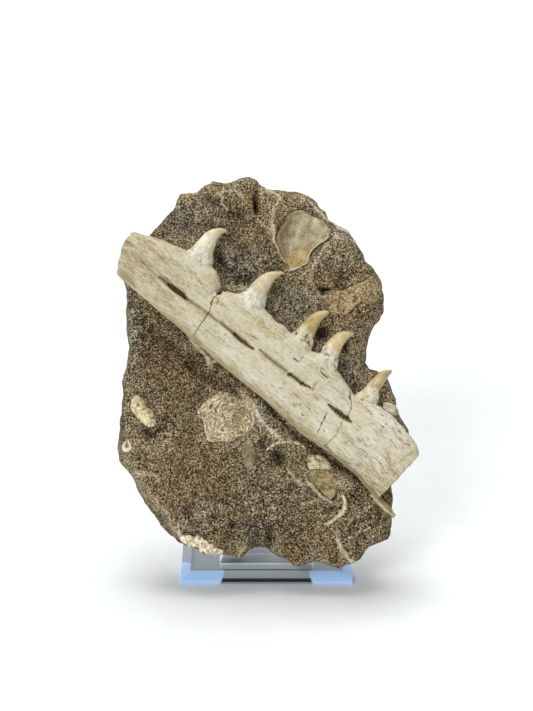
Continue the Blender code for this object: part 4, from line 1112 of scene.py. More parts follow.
def end_rings(rim, side):
    """The broken end face: rings that close on the middle of the bone, rough and slightly hollow."""
    middle = rim.mean(axis=0)
    rings = []
    for share in np.linspace(0.94, 0.04, JAW_END_RINGS):
        ring = middle + (rim - middle) * share
        uneven = 0.8 * MM * rough(ring, 3 * MM, 71 + side) * smoothstep(1, 0.8, share)
        hollow = 0.9 * MM * (1 - share) + uneven
        ring[:, 0] = rim[:, 0] * share + middle[0] * (1 - share) - side * hollow
        rings.append(ring)
    return np.array(rings)


# The teeth

TOOTH_RINGS = 90
TOOTH_SIDES = 56


def smooth_line(points, count):
    """A smooth line of this many points through the given ones."""
    points = np.array(points, float)
    padded = np.vstack([2 * points[0] - points[1], points, 2 * points[-1] - points[-2]])
    at = np.linspace(0, len(points) - 1 - 1e-9, count)
    i = at.astype(int)
    f = (at - i)[:, None]
    a, b, c, d = (padded[i + k] for k in range(4))
    return 0.5 * (2 * b + (c - a) * f + (2 * a - 5 * b + 4 * c - d) * f**2 + (3 * b - a - 3 * c + d) * f**3)


def make_tooth(name, seed):
    line = smooth_line(TEETH_MM[name], TOOTH_RINGS) * MM
    crown_start = CROWNS_MM[name][0]
    run = np.gradient(line[:, :2], axis=0)
    run /= np.linalg.norm(run, axis=1)[:, None]
    side = np.column_stack([run[:, 1], -run[:, 0]])
    angle = np.linspace(0, math.tau, TOOTH_SIDES, endpoint=False)
    cos, sin = np.cos(angle), np.sin(angle)
    radius = np.maximum(line[:, 2], 0.05 * MM)[:, None] * (1 + 0.05 * np.abs(cos) ** 10)[None, :]
    rings = np.empty((TOOTH_RINGS, TOOTH_SIDES, 3))
    rings[:, :, 0] = line[:, None, 0] + side[:, None, 0] * radius * cos
    rings[:, :, 1] = line[:, None, 1] + side[:, None, 1] * radius * cos
    rings[:, :, 2] = TOOTH_LEVEL + radius * sin * TOOTH_FLATNESS
    mesh = skin(name, rings)
    points = coordinates(mesh)
    height = points[:, 1] / MM
    border = 1.6 * rough(points, (2.5 * MM, 5 * MM, 2.5 * MM), seed, 2)
    enamel = smoothstep(-1.6, 1.6, height - crown_start + border)
    root = (1 - enamel) * smoothstep(0, 2, height - 24)
    along = (1.1 * MM, 4 * MM, 1.1 * MM)
    knobs = 0.2 if name in ("tooth_1", "tooth_2") else 0.8
    gaps = pebbles(points, (2.2 * MM, 2.6 * MM, 2.2 * MM), seed)
    uneven = 0.34 * MM * rough(points, 2.6 * MM, seed + 1, 4) * root
    uneven += knobs * MM * (0.6 - gaps) * root
    uneven -= 0.28 * MM * smoothstep(0.5, 0.8, rough(points, along, seed + 2, 2)) * (root + 0.3 * enamel)
    uneven += 0.06 * MM * rough(points, (0.9 * MM, 9 * MM, 0.9 * MM), seed + 3, 2) * enamel
    uneven += 0.10 * MM * enamel
    points += normals(mesh) * uneven[:, None]
    set_coordinates(mesh, points)
    share = (height - TEETH_MM[name][0][1]) / (TEETH_MM[name][-1][1] - TEETH_MM[name][0][1])
    paint(mesh, "enamel", enamel)
    paint(mesh, "tip", share)
    crevice = smoothstep(0.62, 0.86, gaps + 0.12 * rough(points, 0.8 * MM, seed + 5, 2))
    paint(mesh, "crevice", crevice * root * min(1, 1.25 * knobs + 0.1))
    # Painted shade on one side of the crown
    paint(mesh, "behind", smoothstep(-0.2, 0.9, np.append(np.tile(cos, TOOTH_RINGS), [0, 0])))
    add_piece(name, mesh, JAW, tooth_material(name))


# Fragments

SPOKES = 260
FRAGMENT_RINGS = 70
# The rings of a fragment's underside: their share of its outline, and how deep they lie in mm
FRAGMENT_UNDERSIDE = ((1.0, 1.4), (0.9, 2.6), (0.5, 2.8), (0.02, 2.8))


def star_radius(outline, middle, angle):
    """The outline's distance from its middle in each direction, rounded a little."""
    around = smooth_line(np.vstack([outline, outline[:1]]), 900)
    away = around - middle
    bearing = np.arctan2(away[:, 1], away[:, 0])
    order = np.argsort(bearing)
    return np.interp(angle, bearing[order], np.hypot(*away[order].T), period=math.tau)


def make_fragment(name, finish, shape, ragged):
    """A fragment as a dome over its outline that follows the rock's face. shape adds its own relief."""
    outline_px, rise, rim = FRAGMENTS[name]
    outline_px = np.array(outline_px, float)
    middle_px = outline_px.mean(axis=0)
    angle = np.linspace(-math.pi, math.pi, SPOKES, endpoint=False)
    reach = star_radius(outline_px, middle_px, angle)
    circle = np.column_stack([np.cos(angle), np.sin(angle), angle * 0])
    reach = reach * (1 + ragged * rough(circle, 0.35, len(name), 4))
    share = np.linspace(0.015, 1, FRAGMENT_RINGS)
    under, deep = zip(*FRAGMENT_UNDERSIDE)
    spread = np.concatenate([share, under])
    below = np.repeat(np.concatenate([share * 0, deep]) * MM, SPOKES)
    at_px = middle_px + spread[:, None, None] * (reach[:, None] * circle[:, :2])[None]
    flat_px = at_px.reshape(-1, 2)
    around = np.repeat(spread, SPOKES)
    dome = rim * MM + (rise - rim) * MM * (1 - around**2)
    # The rim sinks in and out of the rock, so that grains cover it here and there
    flat = np.column_stack([flat_px, around * 0]) * PIXEL
    shore = 0.5 * MM * rough(flat, 3 * MM, 77, 3) * smoothstep(0.7, 1.0, around)
    height = rock_front(flat_px) + dome - shore - 0.6 * MM * smoothstep(0.88, 1.0, around) ** 2 - below
    points = from_photo(flat_px, height)
    raised, colours = shape(points, around, flat_px)
    points[:, 2] += np.where(below == 0, raised, 0)
    mesh = skin(name, points.reshape(len(spread), SPOKES, 3))
    paint(mesh, "rim", np.append(smoothstep(0.72, 1.0, around), [0, 0]))
    for label, values in colours.items():
        paint(mesh, label, np.append(values, [values[0], values[-1]]))
    add_piece(name, mesh, FOSSIL, finish)


# The fragments' own relief. Each function takes the points of a fragment, their share of the way out to its
# rim and their pixels, and gives how far they rise and the numbers that the mesh keeps for its material.

# The centres of the disc's fields of pores, and the line along which it is worn
DISC_CENTRES_PX = [(224, 452), (266, 398), (186, 424), (236, 376), (236, 424)]
DISC_WORN_PX = [(236, 402), (241, 412), (236, 422)]
PATCH_CRACK_PX = [(341, 289), (340, 297), (338.5, 305), (338.5, 311)]
# Painted highlights on the large shell, as pale streaks: points in pixels, seed of their wandering, width in
# pixels, strength
PLATE_STREAKS_PX = [
    ([(306, 216), (303, 226), (296, 240), (291, 250)], 92, 4.0, 1.0),
    ([(316, 222), (318, 232), (311, 244)], 93, 4.5, 0.5),
]


def swirl(points, around, in_px):
    """Bone cut across: short curved pores, in a few fields that each lie round a centre of their own."""
    bent = points + 0.9 * MM * np.column_stack([rough(points, 3 * MM, seed, 2) for seed in (81, 82, 83)])
    holes, strongest = np.zeros(len(points)), np.full(len(points), -9.0)
    across, along = np.zeros(len(points)), np.zeros(len(points))
    for number, centre_px in enumerate(DISC_CENTRES_PX):
        away = bent[:, :2] - from_photo([centre_px], 0)[0, :2]
        radius = np.hypot(*away.T)
        arcs = np.column_stack([radius, np.arctan2(away[:, 1], away[:, 0]) * radius.mean(), radius * 0])
        pattern = rough(arcs, (0.46 * MM, 2.0 * MM, 9), 78 + number, 2)
        claim = rough(points, 6 * MM, 140 + number, 2) - radius / (30 * MM)
        holes = np.where(claim > strongest, smoothstep(0.02, 0.45, pattern), holes)
        across = np.where(claim > strongest, radius, across)
        along = np.where(claim > strongest, arcs[:, 1] + 0.05 * number, along)
        strongest = np.maximum(claim, strongest)
    porous = smoothstep(-0.3, 0.3, rough(points, 4 * MM, 79))
    fine = smoothstep(0.45, 0.2, pebbles(points, 0.8 * MM, 4)) * porous
    holes = np.clip(np.maximum(holes, 0.7 * fine), 0, 1) * smoothstep(1.0, 0.9, around)
    off_worn = off_line(in_px, np.array(DISC_WORN_PX))
    worn = smoothstep(9, 3, off_worn + 3 * rough(points, 3 * MM, 96))
    pale = smoothstep(0.0, 0.7, rough(points, 4 * MM, 97, 3))
    lumps = 0.4 * MM * rough(points, 4.5 * MM, 84) - 0.4 * MM * worn
    tint = np.clip(0.4 * holes * (1 - 0.35 * pale) + 0.25 * worn, 0, 1)
    return lumps - 0.5 * MM * holes, {"hole": tint, "worn": worn, "across": across, "along": along}


def spongy(points, around, in_px):
    """Worn porous bone: many small round holes, fewer in some places."""
    few = smoothstep(-0.5, 0.4, rough(points, 5 * MM, 80))
    holes = smoothstep(0.42, 0.2, pebbles(points, 1.25 * MM, 4)) * few
    holes = np.maximum(holes, 0.7 * smoothstep(0.4, 0.2, pebbles(points, 0.8 * MM, 5)))
    crack = off_line(in_px, np.array(PATCH_CRACK_PX)) * PIXEL / MM
    holes = np.maximum(holes * smoothstep(1.0, 0.88, around), np.exp(-((crack / 0.3) ** 2)))
    return 0.5 * MM * rough(points, 4 * MM, 84) - 0.3 * MM * holes, {"hole": holes}


def knobbly(points, around, in_px):
    """Bone with rows of rounded knobs."""
    knobs = pebbles(points, (1.15 * MM, 1.15 * MM, 9 * MM), 6)
    raised = 1.2 * MM * (0.55 - knobs) + 0.35 * MM * rough(points, 1.0 * MM, 85, 2)
    # The lower left side is a row of pale knobs, and the upper right is worn, granular and tan
    toward = (in_px - in_px.mean(axis=0)) @ (-0.75, 0.66) / 9
    bare = smoothstep(0.30, -0.35, toward + 0.5 * rough(points, 1.6 * MM, 95, 2))
    raised -= 0.5 * MM * bare
    return raised, {"hole": 0.6 * smoothstep(0.55, 0.9, knobs) + 0.55 * bare * (0.2 + 0.9 * knobs)}


def dished(points, around, in_px):
    """The scallop's hollow inner side, with faint ribs that fan out from its lower end."""
    away = in_px - (291.0, 278.0)
    bearing = np.arctan2(away[:, 0], -away[:, 1])
    fan = np.column_stack([bearing * 26 * MM, np.hypot(*away.T) * 0.06 * MM, bearing * 0])
    ribs = rough(fan, 2.2 * MM, 86, 3)
    drift = 6 * rough(points, 5 * MM, 88)
    ochre = smoothstep(244, 262, in_px[:, 1] + drift)
    # Only the right and lower edge of the shell is whole, and stands up as a thin pale rim
    outward = np.degrees(np.arctan2(in_px[:, 1] - 240, in_px[:, 0] - 303))
    whole = smoothstep(-35, 0, outward) * smoothstep(125, 105, outward)
    rim = smoothstep(0.90, 0.97, around) * whole
    brown = smoothstep(294, 280, in_px[:, 0] + drift) * smoothstep(262, 248, in_px[:, 1])
    high = 0.8 * smoothstep(224, 213, in_px[:, 1] + drift) * smoothstep(310, 300, in_px[:, 0])
    brown = np.maximum(brown, high)
    streak_highlight = np.zeros(len(points))
    # Painted highlights along the streaks, where the shell also stands up a little
    for line_px, seed, width, strength in PLATE_STREAKS_PX:
        away = off_line(in_px, np.array(line_px)) + 1.5 * rough(points, 3 * MM, seed)
        streak_highlight = np.maximum(streak_highlight, strength * np.exp(-((away / width) ** 2)))
    raised = 0.14 * MM * ribs + 0.35 * MM * rough(points, 5 * MM, 87, 3) + 0.5 * MM * rim + 0.3 * MM * streak_highlight
    raised -= 0.9 * MM * smoothstep(0.8, 1.0, around) * (1 - whole)
    return raised, {"ochre": ochre, "edge": rim, "brown": brown, "hole": ribs, "streak_highlight": streak_highlight}


def flaky(points, around, in_px):
    """A ragged fragment with low steps and pits."""
    steps = rough(points, (4 * MM, 1.6 * MM, 4 * MM), 89, 3)
    uneven = 0.35 * MM * steps + 0.25 * MM * rough(points, 1.2 * MM, 90, 2)
    return uneven, {"hole": 0.35 * np.clip(0.5 - steps, 0, 1)}


def hollowed(points, around, in_px):
    """A fragment whose middle has broken away, with a pale rim."""
    middle = smoothstep(0.66, 0.30, around + 0.02 * (in_px[:, 1] - in_px[:, 1].mean()))
    return -0.8 * MM * middle + 0.2 * MM * rough(points, 1.5 * MM, 90, 2), {"hole": middle}


ROD_STEPS = 130
ROD_SIDES = 36


def make_rod(name, line, radii, place, finish, flatness=1.0, uneven=0.12, lumps=0.0):
    """A tapering rod along a smooth line, with an uneven skin."""
    joined = smooth_line(np.column_stack([line, radii]), ROD_STEPS)
    centre, radius = joined[:, :3], np.maximum(joined[:, 3], 0.08 * MM)
    run = np.gradient(centre, axis=0)
    run /= np.linalg.norm(run, axis=1)[:, None]
    side = np.cross(run, (0, 0, 1))
    side /= np.linalg.norm(side, axis=1)[:, None]
    up = np.cross(side, run)
    angle = np.linspace(0, math.tau, ROD_SIDES, endpoint=False)
    rings = centre[:, None] + radius[:, None, None] * (
        np.cos(angle)[None, :, None] * side[:, None] + flatness * np.sin(angle)[None, :, None] * up[:, None]
    )
    mesh = skin(name, rings)
    points = coordinates(mesh)
    share = uneven * rough(points, 2.2 * MM, len(name), 4)
    share = share + lumps * (0.7 - pebbles(points, 1.9 * MM, 7))
    thick = np.concatenate([np.repeat(radius, ROD_SIDES), radius[[0, -1]]])
    points += normals(mesh) * (share * thick)[:, None]
    set_coordinates(mesh, points)
    paint(mesh, "hole", np.clip(rough(points, 1.6 * MM, 91, 2), 0, 1))
    add_piece(name, mesh, place, finish)


ROD_COLOURS = {
    "fish_rib": ((234, 224, 192), (192, 174, 130)),
    "shell_rim": ((224, 214, 184), (160, 142, 106)),
    "shell_edge": ((172, 156, 120), (108, 92, 64)),
    "bone_crust": ((255, 248, 228), (214, 196, 160)),
}


def make_rods():
    for name, (line_px, half_thickness, lift) in RODS_PX.items():
        line = from_photo(line_px, rock_front(line_px) + lift * MM)
        last = len(line) - 1
        radii = [half_thickness * MM * (1 - 0.6 * abs(2 * i / last - 1) ** 3) for i in range(last + 1)]
        crusty = name == "bone_crust"
        finish = shell_material(name, *ROD_COLOURS[name])
        make_rod(name, line, radii, FOSSIL, finish, uneven=0.35 if crusty else 0.22,
                 lumps=1.1 if crusty else 0.15)


def make_splinter():
    line = from_photo(SPLINTER_PX, SPLINTER_LEVEL)
    make_rod("jaw_splinter", line, SPLINTER_RADII, FOSSIL, splinter_material(), uneven=0.16)


# Materials


class Value:
    """What a shader node gives. Arithmetic with it makes the nodes that the sum needs."""

    def __init__(self, socket):
        self.socket = socket

    def __add__(self, other):
        return calc("ADD", self, other)

    def __sub__(self, other):
        return calc("SUBTRACT", self, other)

    def __rsub__(self, other):
        return calc("SUBTRACT", other, self)

    def __mul__(self, other):
        return calc("MULTIPLY", self, other)

    def __neg__(self):
        return calc("MULTIPLY", self, -1.0)

    def __abs__(self):
        return calc("ABSOLUTE", self)

    __radd__ = __add__
    __rmul__ = __mul__


def node_for(kind, *values):
    """A new shader node in the tree of the first of these values that a node gives."""
    tree = next(value.socket.id_data for value in values if isinstance(value, Value))
    return tree.nodes.new("ShaderNode" + kind)


def put(target, value):
    """Links a value to this input, or sets the input to it."""
    if isinstance(value, Value):
        target.id_data.links.new(value.socket, target)
    else:
        target.default_value = value


def calc(operation, *terms):
    node = node_for("Math", *terms)
    node.operation = operation
    for target, term in zip(node.inputs, terms):
        put(target, term)
    return Value(node.outputs[0])


def clamped(value):
    """The same result of arithmetic, held between 0 and 1."""
    value.socket.node.use_clamp = True
    return value


def fit(value, low, high, to_low=0.0, to_high=1.0):
    """The value eased from one range into another."""
    node = node_for("MapRange", value)
    node.interpolation_type = "SMOOTHSTEP"
    for target, term in zip(node.inputs, (value, low, high, to_low, to_high)):
        put(target, term)
    return Value(node.outputs[0])


def linear(colour):
    """A colour given as eight bit sRGB, as the linear one that a shader takes."""
    shares = [c / 255 for c in colour]
    return (*[s / 12.92 if s <= 0.04045 else ((s + 0.055) / 1.055) ** 2.4 for s in shares], 1)


def ramp(value, stops):
    """A colour ramp through (place, sRGB colour) stops."""
    node = node_for("ValToRGB", value)
    put(node.inputs[0], value)
    elements = node.color_ramp.elements
    while len(elements) < len(stops):
        elements.new(0.5)
    for element, (place, colour) in zip(elements, stops):
        element.position = place
        element.color = linear(colour)
    return Value(node.outputs[0])


def blend(share, one, other, kind="MIX"):
    """One colour turned into the other by this share."""
    node = node_for("Mix", share, one, other)
    node.data_type = "RGBA"
    node.blend_type = kind
    for target, value in zip((node.inputs[0], node.inputs[6], node.inputs[7]), (share, one, other)):
        put(target, value)
    return Value(node.outputs[2])


def tinted(share, colour, tint):
    """A colour turned into a plain sRGB tint by this share."""
    return blend(share, colour, linear(tint))


def attribute(tree, name, output):
    node = tree.nodes.new("ShaderNodeAttribute")
    node.attribute_name = name
    return Value(node.outputs[output])


def painted(tree, name):
    """The number that the mesh keeps under this name."""
    return attribute(tree, name, "Fac")


def where(tree, scale=(1, 1, 1)):
    """The piece's own coordinates in metres, as it keeps them, stretched by these factors."""
    return stretched(attribute(tree, "local", "Vector"), scale)


def object_place(tree):
    return Value(tree.nodes.new("ShaderNodeTexCoord").outputs["Object"])


def stretched(place, scale):
    node = node_for("VectorMath", place)
    node.operation = "MULTIPLY"
    put(node.inputs[0], place)
    node.inputs[1].default_value = scale
    return Value(node.outputs[0])


def noise(place, size, detail=2.0, contrast=0.5):
    node = node_for("TexNoise", place)
    settings = {"Vector": place, "Scale": 1 / size, "Detail": detail, "Roughness": contrast}
    for name, value in settings.items():
        put(node.inputs[name], value)
    return Value(node.outputs[0])


def grains(place, size):
    """Cells of about this size: the distance from each one's middle, and two random numbers for each."""
    node = node_for("TexVoronoi", place)
    put(node.inputs["Vector"], place)
    node.inputs["Scale"].default_value = 1 / size
    split = node_for("SeparateColor", place)
    put(split.inputs[0], Value(node.outputs["Color"]))
    return Value(node.outputs["Distance"]), Value(split.outputs[0]), Value(split.outputs[1])


def bump(inputs, height, distance, strength=1.0):
    """Small relief of the surface, seen in its shading alone."""
    node = node_for("Bump", height)
    for name, value in (("Height", height), ("Distance", distance), ("Strength", strength)):
        put(node.inputs[name], value)
    put(inputs["Normal"], Value(node.outputs[0]))


def new_material(name, roughness, **values):
    """A material with one Principled shader. Returns it, its node tree and the shader's inputs."""
    made = bpy.data.materials.new(name)
    made.use_nodes = True
    inputs = made.node_tree.nodes["Principled BSDF"].inputs
    inputs["Roughness"].default_value = roughness
    for key, value in values.items():
        inputs[key.replace("_", " ")].default_value = value
    return made, made.node_tree, inputs


ROCK_OLIVE = [(0.06, (34, 24, 11)), (0.30, (84, 69, 43)), (0.50, (127, 108, 76)), (0.70, (170, 151, 116)),
              (0.95, (232, 220, 192))]
ROCK_LILAC = [(0.06, (32, 26, 20)), (0.30, (84, 73, 58)), (0.50, (125, 112, 93)), (0.70, (167, 156, 136)),
              (0.95, (232, 224, 206))]
ROCK_KINDS = [(0.15, (112, 134, 112)), (0.50, (128, 128, 128)), (0.85, (148, 124, 116))]
ROCK_CREST = [(0.40, (176, 160, 128)), (0.60, (226, 216, 192))]
ROCK_WARM = (160, 116, 58)
# Lines that wind through the rock: the size of their turns, their width in the noise, and their tone
WINDING_LINES = ((0.62 * MM, 0.055, 0.58), (0.80 * MM, 0.055, -0.60), (4.0 * MM, 0.02, -0.36))
# How much each soft spot painted on the rock changes its tone; hollow is painted shade, and dark and pale
# hold some painted shade and light
ROCK_SPOTS = (("hollow", -0.07), ("dark", -0.18), ("vein", 0.45), ("pale", 0.22))


def rock_tone(tree, place, apart, grain, clump):
    """How light each grain of the rock is, from about 0 to 1."""
    _, fine, _ = grains(place, 0.38 * MM)
    cloud = noise(place, 7 * MM, 4.0, 0.65)
    lumps = noise(place, 2.8 * MM, 3.0, 0.6)
    coarse = painted(tree, "coarse")
    tone = 0.16 * grain + 0.66 * fine + 0.70 * (0.553 - apart)
    # Pale grains and dark gaps that wind
    broken = fit(coarse, 0.0, 1.0, 0.75, 1.3)
    for size, width, weight in WINDING_LINES:
        winding = abs(noise(place, size, 2.0, 0.55) - 0.5)
        tone = tone + fit(winding, 0.0, width, weight, 0.0) * broken
    # Crumbs and holes, sparse in the fine rock and thicker in the coarse
    near, lot, _ = grains(place, 1.5 * MM)
    core = fit(near, 0.5, 0.3) * fit(coarse, 0.0, 1.0, 0.3, 1.1)
    crumb = fit(lot, 0.84, 0.90, 0.0, 0.34) + fit(lot, 0.20, 0.12, 0.0, -0.42)
    tone = tone + crumb * core + 0.55 * (cloud - 0.5)
    tone = tone + (clump - 0.5) * fit(coarse, 0.0, 1.0, 0.15, 1.9)
    tone = tone + (lumps - 0.5) * fit(coarse, 0.0, 1.0, 0.0, 0.9)
    # Painted shade in the recesses, under the jaw and round the fragments, among darker and paler rock
    for label, weight in ROCK_SPOTS:
        tone = tone + weight * painted(tree, label)
    return tone


def rock_material():
    """Sandy rock: fine grains from black pores to cream, olive or grey, with stains, pale crests and painted
    shade in its hollows.
    """
    made, tree, inputs = new_material("sandy_rock", 0.95, Specular_IOR_Level=0.15)
    place = where(tree)
    apart, grain, kind = grains(place, 0.70 * MM)
    clump = noise(place, 1.2 * MM, 2.0, 0.6)
    tone = rock_tone(tree, place, apart, grain, clump)
    hue = noise(place, 11 * MM, 3.0, 0.6)
    greyness = clamped(fit(hue, 0.48, 0.70, 0.0, 0.5) + painted(tree, "grey"))
    colour = blend(greyness, ramp(tone, ROCK_OLIVE), ramp(tone, ROCK_LILAC))
    warmth = clamped(fit(hue, 0.44, 0.28, 0.0, 0.35) + painted(tree, "warm"))
    colour = blend(0.5 * warmth, colour, linear(ROCK_WARM), "OVERLAY")
    colour = blend(0.30, colour, ramp(kind, ROCK_KINDS), "OVERLAY")
    crest = fit(painted(tree, "vein"), 0.35, 0.95, 0.0, 0.85)
    put(inputs["Base Color"], blend(crest, colour, ramp(clump, ROCK_CREST)))
    bump(inputs, -apart, 0.22 * MM, 0.7)
    return made


BONE_CREAM = (207, 199, 171)
BONE_YELLOW = (194, 178, 136)
BONE_WHITE = (218, 212, 191)
BONE_TAN_SHADE = (160, 142, 100)
BONE_SMUDGE = (164, 138, 88)
BONE_MARK = (158, 124, 66)
BONE_BROWN = (122, 98, 52)
BONE_PORE = (98, 80, 54)
BONE_DARK = (54, 40, 26)
BONE_STOPS = [(0.34, (152, 127, 80)), (0.42, BONE_YELLOW), (0.49, BONE_CREAM), (0.60, BONE_WHITE),
              (0.72, (236, 231, 214))]
TAN_STOPS = [(0.36, (128, 106, 70)), (0.46, (158, 138, 100)), (0.54, (184, 170, 134)), (0.64, BONE_CREAM)]
INSIDE_STOPS = [(0.38, (46, 34, 16)), (0.50, (84, 66, 34)), (0.62, (120, 100, 60))]
SPLINTER_STOPS = [(0.36, (112, 90, 58)), (0.46, (150, 128, 90)), (0.56, BONE_YELLOW), (0.68, BONE_CREAM)]
SPLINTER_GRAIN_TURN = math.radians(46)


def jaw_material():
    """Fibrous fossil bone, pale with yellow and tan streaks and dark pores, stained openings, painted shade
    in them and below.
    """
    made, tree, inputs = new_material("fossil_bone", 0.65, Specular_IOR_Level=0.3)
    broad = noise(where(tree, (0.35, 1, 1)), 4.5 * MM, 4.0, 0.6)
    fibres = noise(where(tree, (0.14, 1, 1)), 0.6 * MM, 3.0, 0.65)
    specks = noise(where(tree, (0.6, 1, 1)), 0.65 * MM, 3.0, 0.7)
    lines = noise(where(tree, (0.10, 1, 1)), 0.36 * MM, 1.0)
    threads = noise(where(tree, (0.12, 1, 1)), 0.30 * MM, 1.0)
    blotch = noise(where(tree, (0.32, 1, 1)), 3.2 * MM, 3.0, 0.55)
    area = noise(where(tree, (0.4, 1, 1)), 12 * MM)
    spots = noise(where(tree, (0.22, 1, 1)), 1.5 * MM)
    shade = 0.40 * broad + 0.30 * fibres + 0.30 * specks + 0.32 * (threads - 0.5)
    shade = shade + 0.065 * painted(tree, "pale") - 0.04 * painted(tree, "yellow")
    browned = clamped(painted(tree, "tan") * fit(blotch, 0.60, 0.40, 0.25, 1.0))
    colour = blend(browned, ramp(shade, BONE_STOPS), ramp(shade, TAN_STOPS))
    colour = tinted(fit(spots, 0.60, 0.74, 0.0, 0.75) * fit(area, 0.42, 0.60, 0.2, 1.0), colour, BONE_SMUDGE)
    # Painted shade, in tan, on the bone's lower side and along its lower edge
    colour = tinted(painted(tree, "under") * fit(fibres, 0.35, 0.6, 0.9, 0.3), colour, BONE_TAN_SHADE)
    # Thin dark lines along the grain crowd in some areas and leave others clean
    crowd = fit(area, 0.38, 0.62, 0.0, 0.07) + 0.085 * painted(tree, "lined")
    pore = fit(lines - (0.70 - crowd), 0.0, 0.05, 0.0, 0.8)
    colour = tinted(pore, colour, BONE_PORE)
    marked = clamped(painted(tree, "mark") * fit(specks, 0.58, 0.42, 0.2, 1.0))
    colour = tinted(0.9 * marked, colour, BONE_MARK)
    stained = clamped(painted(tree, "stain") * fit(specks, 0.35, 0.6, 0.5, 1.0))
    colour = tinted(0.85 * stained, colour, BONE_BROWN)
    # Inside the openings: dark brown fill, deepened by painted shade
    colour = blend(fit(painted(tree, "slot"), 0.15, 0.9, 0.0, 0.95), colour, ramp(specks, INSIDE_STOPS))
    colour = tinted(fit(painted(tree, "crack"), 0.6, 1.5, 0.9, 0.0), colour, BONE_DARK)
    put(inputs["Base Color"], colour)
    bump(inputs, 0.6 * fibres + 0.5 * specks - 0.8 * pore, 0.30 * MM, 0.8)
    return made


def splinter_material():
    """The same bone as the jaw's, browner, with its grain along the splinter."""
    made, tree, inputs = new_material("bone_splinter", 0.65, Specular_IOR_Level=0.3)
    place = where(tree)
    turned = node_for("VectorRotate", place)
    turned.rotation_type = "Z_AXIS"
    turned.inputs["Angle"].default_value = SPLINTER_GRAIN_TURN
    put(turned.inputs["Vector"], place)
    streaks = noise(stretched(Value(turned.outputs[0]), (0.08, 1, 1)), 1.0 * MM, 3.0, 0.6)
    put(inputs["Base Color"], ramp(streaks, SPLINTER_STOPS))
    bump(inputs, streaks, 0.4 * MM, 0.8)
    return made


ROOT_PIT = (118, 90, 52)
ROOT_CREVICE = (116, 92, 58)
CROWN_PIT = (120, 92, 56)


def tones(colour, deep_shares, lift):
    """Three stops from one colour: these shares of it, the colour, and a lighter one."""
    deep = tuple(int(c * share) for c, share in zip(colour, deep_shares))
    light = tuple(min(255, c + lift) for c in colour)
    return [(0.36, deep), (0.50, colour), (0.62, light)]


def tooth_material(name):
    """A bony root with brown pits and streaks, and a smooth crown of enamel with painted shade towards one
    side.
    """
    _, crown_colour, tip_colour, root_colour = CROWNS_MM[name]
    made, tree, inputs = new_material(name + "_enamel", 0.35)
    cloud = noise(where(tree), 3 * MM, 3.0, 0.6)
    lines = noise(where(tree, (1, 0.14, 1)), 0.6 * MM, 3.0, 0.65)
    pits = noise(where(tree, (1, 0.45, 1)), 0.8 * MM, 2.0, 0.6)
    enamel = painted(tree, "enamel")
    shade = 0.5 * cloud + 0.5 * lines
    root = ramp(shade, tones(root_colour, (0.80, 0.75, 0.66), 14))
    root = tinted(fit(pits, 0.60, 0.70, 0.0, 0.7), root, ROOT_PIT)
    root = tinted(painted(tree, "crevice"), root, ROOT_CREVICE)
    crown_tones = tones(crown_colour, (0.84, 0.80, 0.72), 16)
    crown = ramp(shade, crown_tones)
    crown = tinted(fit(painted(tree, "tip"), 0.55, 1.0, 0.0, 0.85), crown, tip_colour)
    # Painted shade darkens one side of the crown
    crown = tinted(0.30 * painted(tree, "behind"), crown, crown_tones[0][1])
    crown = tinted(fit(pits, 0.66, 0.74, 0.0, 0.6), crown, CROWN_PIT)
    put(inputs["Base Color"], blend(enamel, root, crown))
    put(inputs["Roughness"], fit(enamel, 0.2, 0.8, 0.75, 0.36))
    bump(inputs, pits * fit(enamel, 0.0, 1.0, -1.0, -0.15), 0.4 * MM, 0.7)
    return made


def arc_pores(tree):
    """Short curved pores, from each place's distance and way round the centre of its field."""
    joined = tree.nodes.new("ShaderNodeCombineXYZ")
    for target, name in zip(joined.inputs, ("across", "along")):
        put(target, painted(tree, name))
    pattern = noise(stretched(Value(joined.outputs[0]), (1, 0.24, 1)), 0.56 * MM, 2.0, 0.6)
    return clamped(fit(pattern, 0.48, 0.54) - fit(painted(tree, "rim"), 0.8, 1.0, 0.0, 0.3))


def spongy_material(name, wall, shade, pore, worms=0.0, grain=0.25, arcs=0.0):
    """Porous bone: pale walls round dark pores, with winding channels and curved pores of these strengths."""
    made, tree, inputs = new_material(name, 0.85, Specular_IOR_Level=0.2)
    place = where(tree)
    cloud = noise(place, 2.5 * MM, 3.0, 0.6)
    apart, cell, _ = grains(place, 0.55 * MM)
    colour = ramp((1 - grain) * cloud + grain * cell, [(0.34, shade), (0.58, wall)])
    winding = abs(noise(place, 1.5 * MM, 1.0) - 0.5)
    width = 0.032 + 0.03 * painted(tree, "worn")
    colour = tinted(worms * fit(winding - width, 0.012, -0.012), colour, pore)
    if arcs:
        colour = tinted(arcs * arc_pores(tree), colour, pore)
    colour = tinted(fit(apart, 0.3, 0.05, 0.0, 0.5) * fit(cell, 0.55, 0.65), colour, pore)
    colour = tinted(clamped(0.9 * painted(tree, "hole")), colour, pore)
    put(inputs["Base Color"], colour)
    bump(inputs, cloud + apart, 0.35 * MM, 0.7)
    return made


def shell_material(name, light, deep):
    """Chalky shell in two tones, mottled."""
    made, tree, inputs = new_material(name, 0.6, Specular_IOR_Level=0.3)
    place = where(tree)
    _, cell, _ = grains(place, 0.5 * MM)
    tone = noise(place, 2 * MM, 4.0, 0.7) + 0.16 * (cell - 0.5) - 0.3 * painted(tree, "hole")
    darkest = tuple(int(c * 0.7) for c in deep)
    put(inputs["Base Color"], ramp(tone, [(0.26, darkest), (0.40, deep), (0.56, light)]))
    bump(inputs, noise(place, 0.6 * MM, 2.0, 0.6), 0.25 * MM, 0.7)
    return made


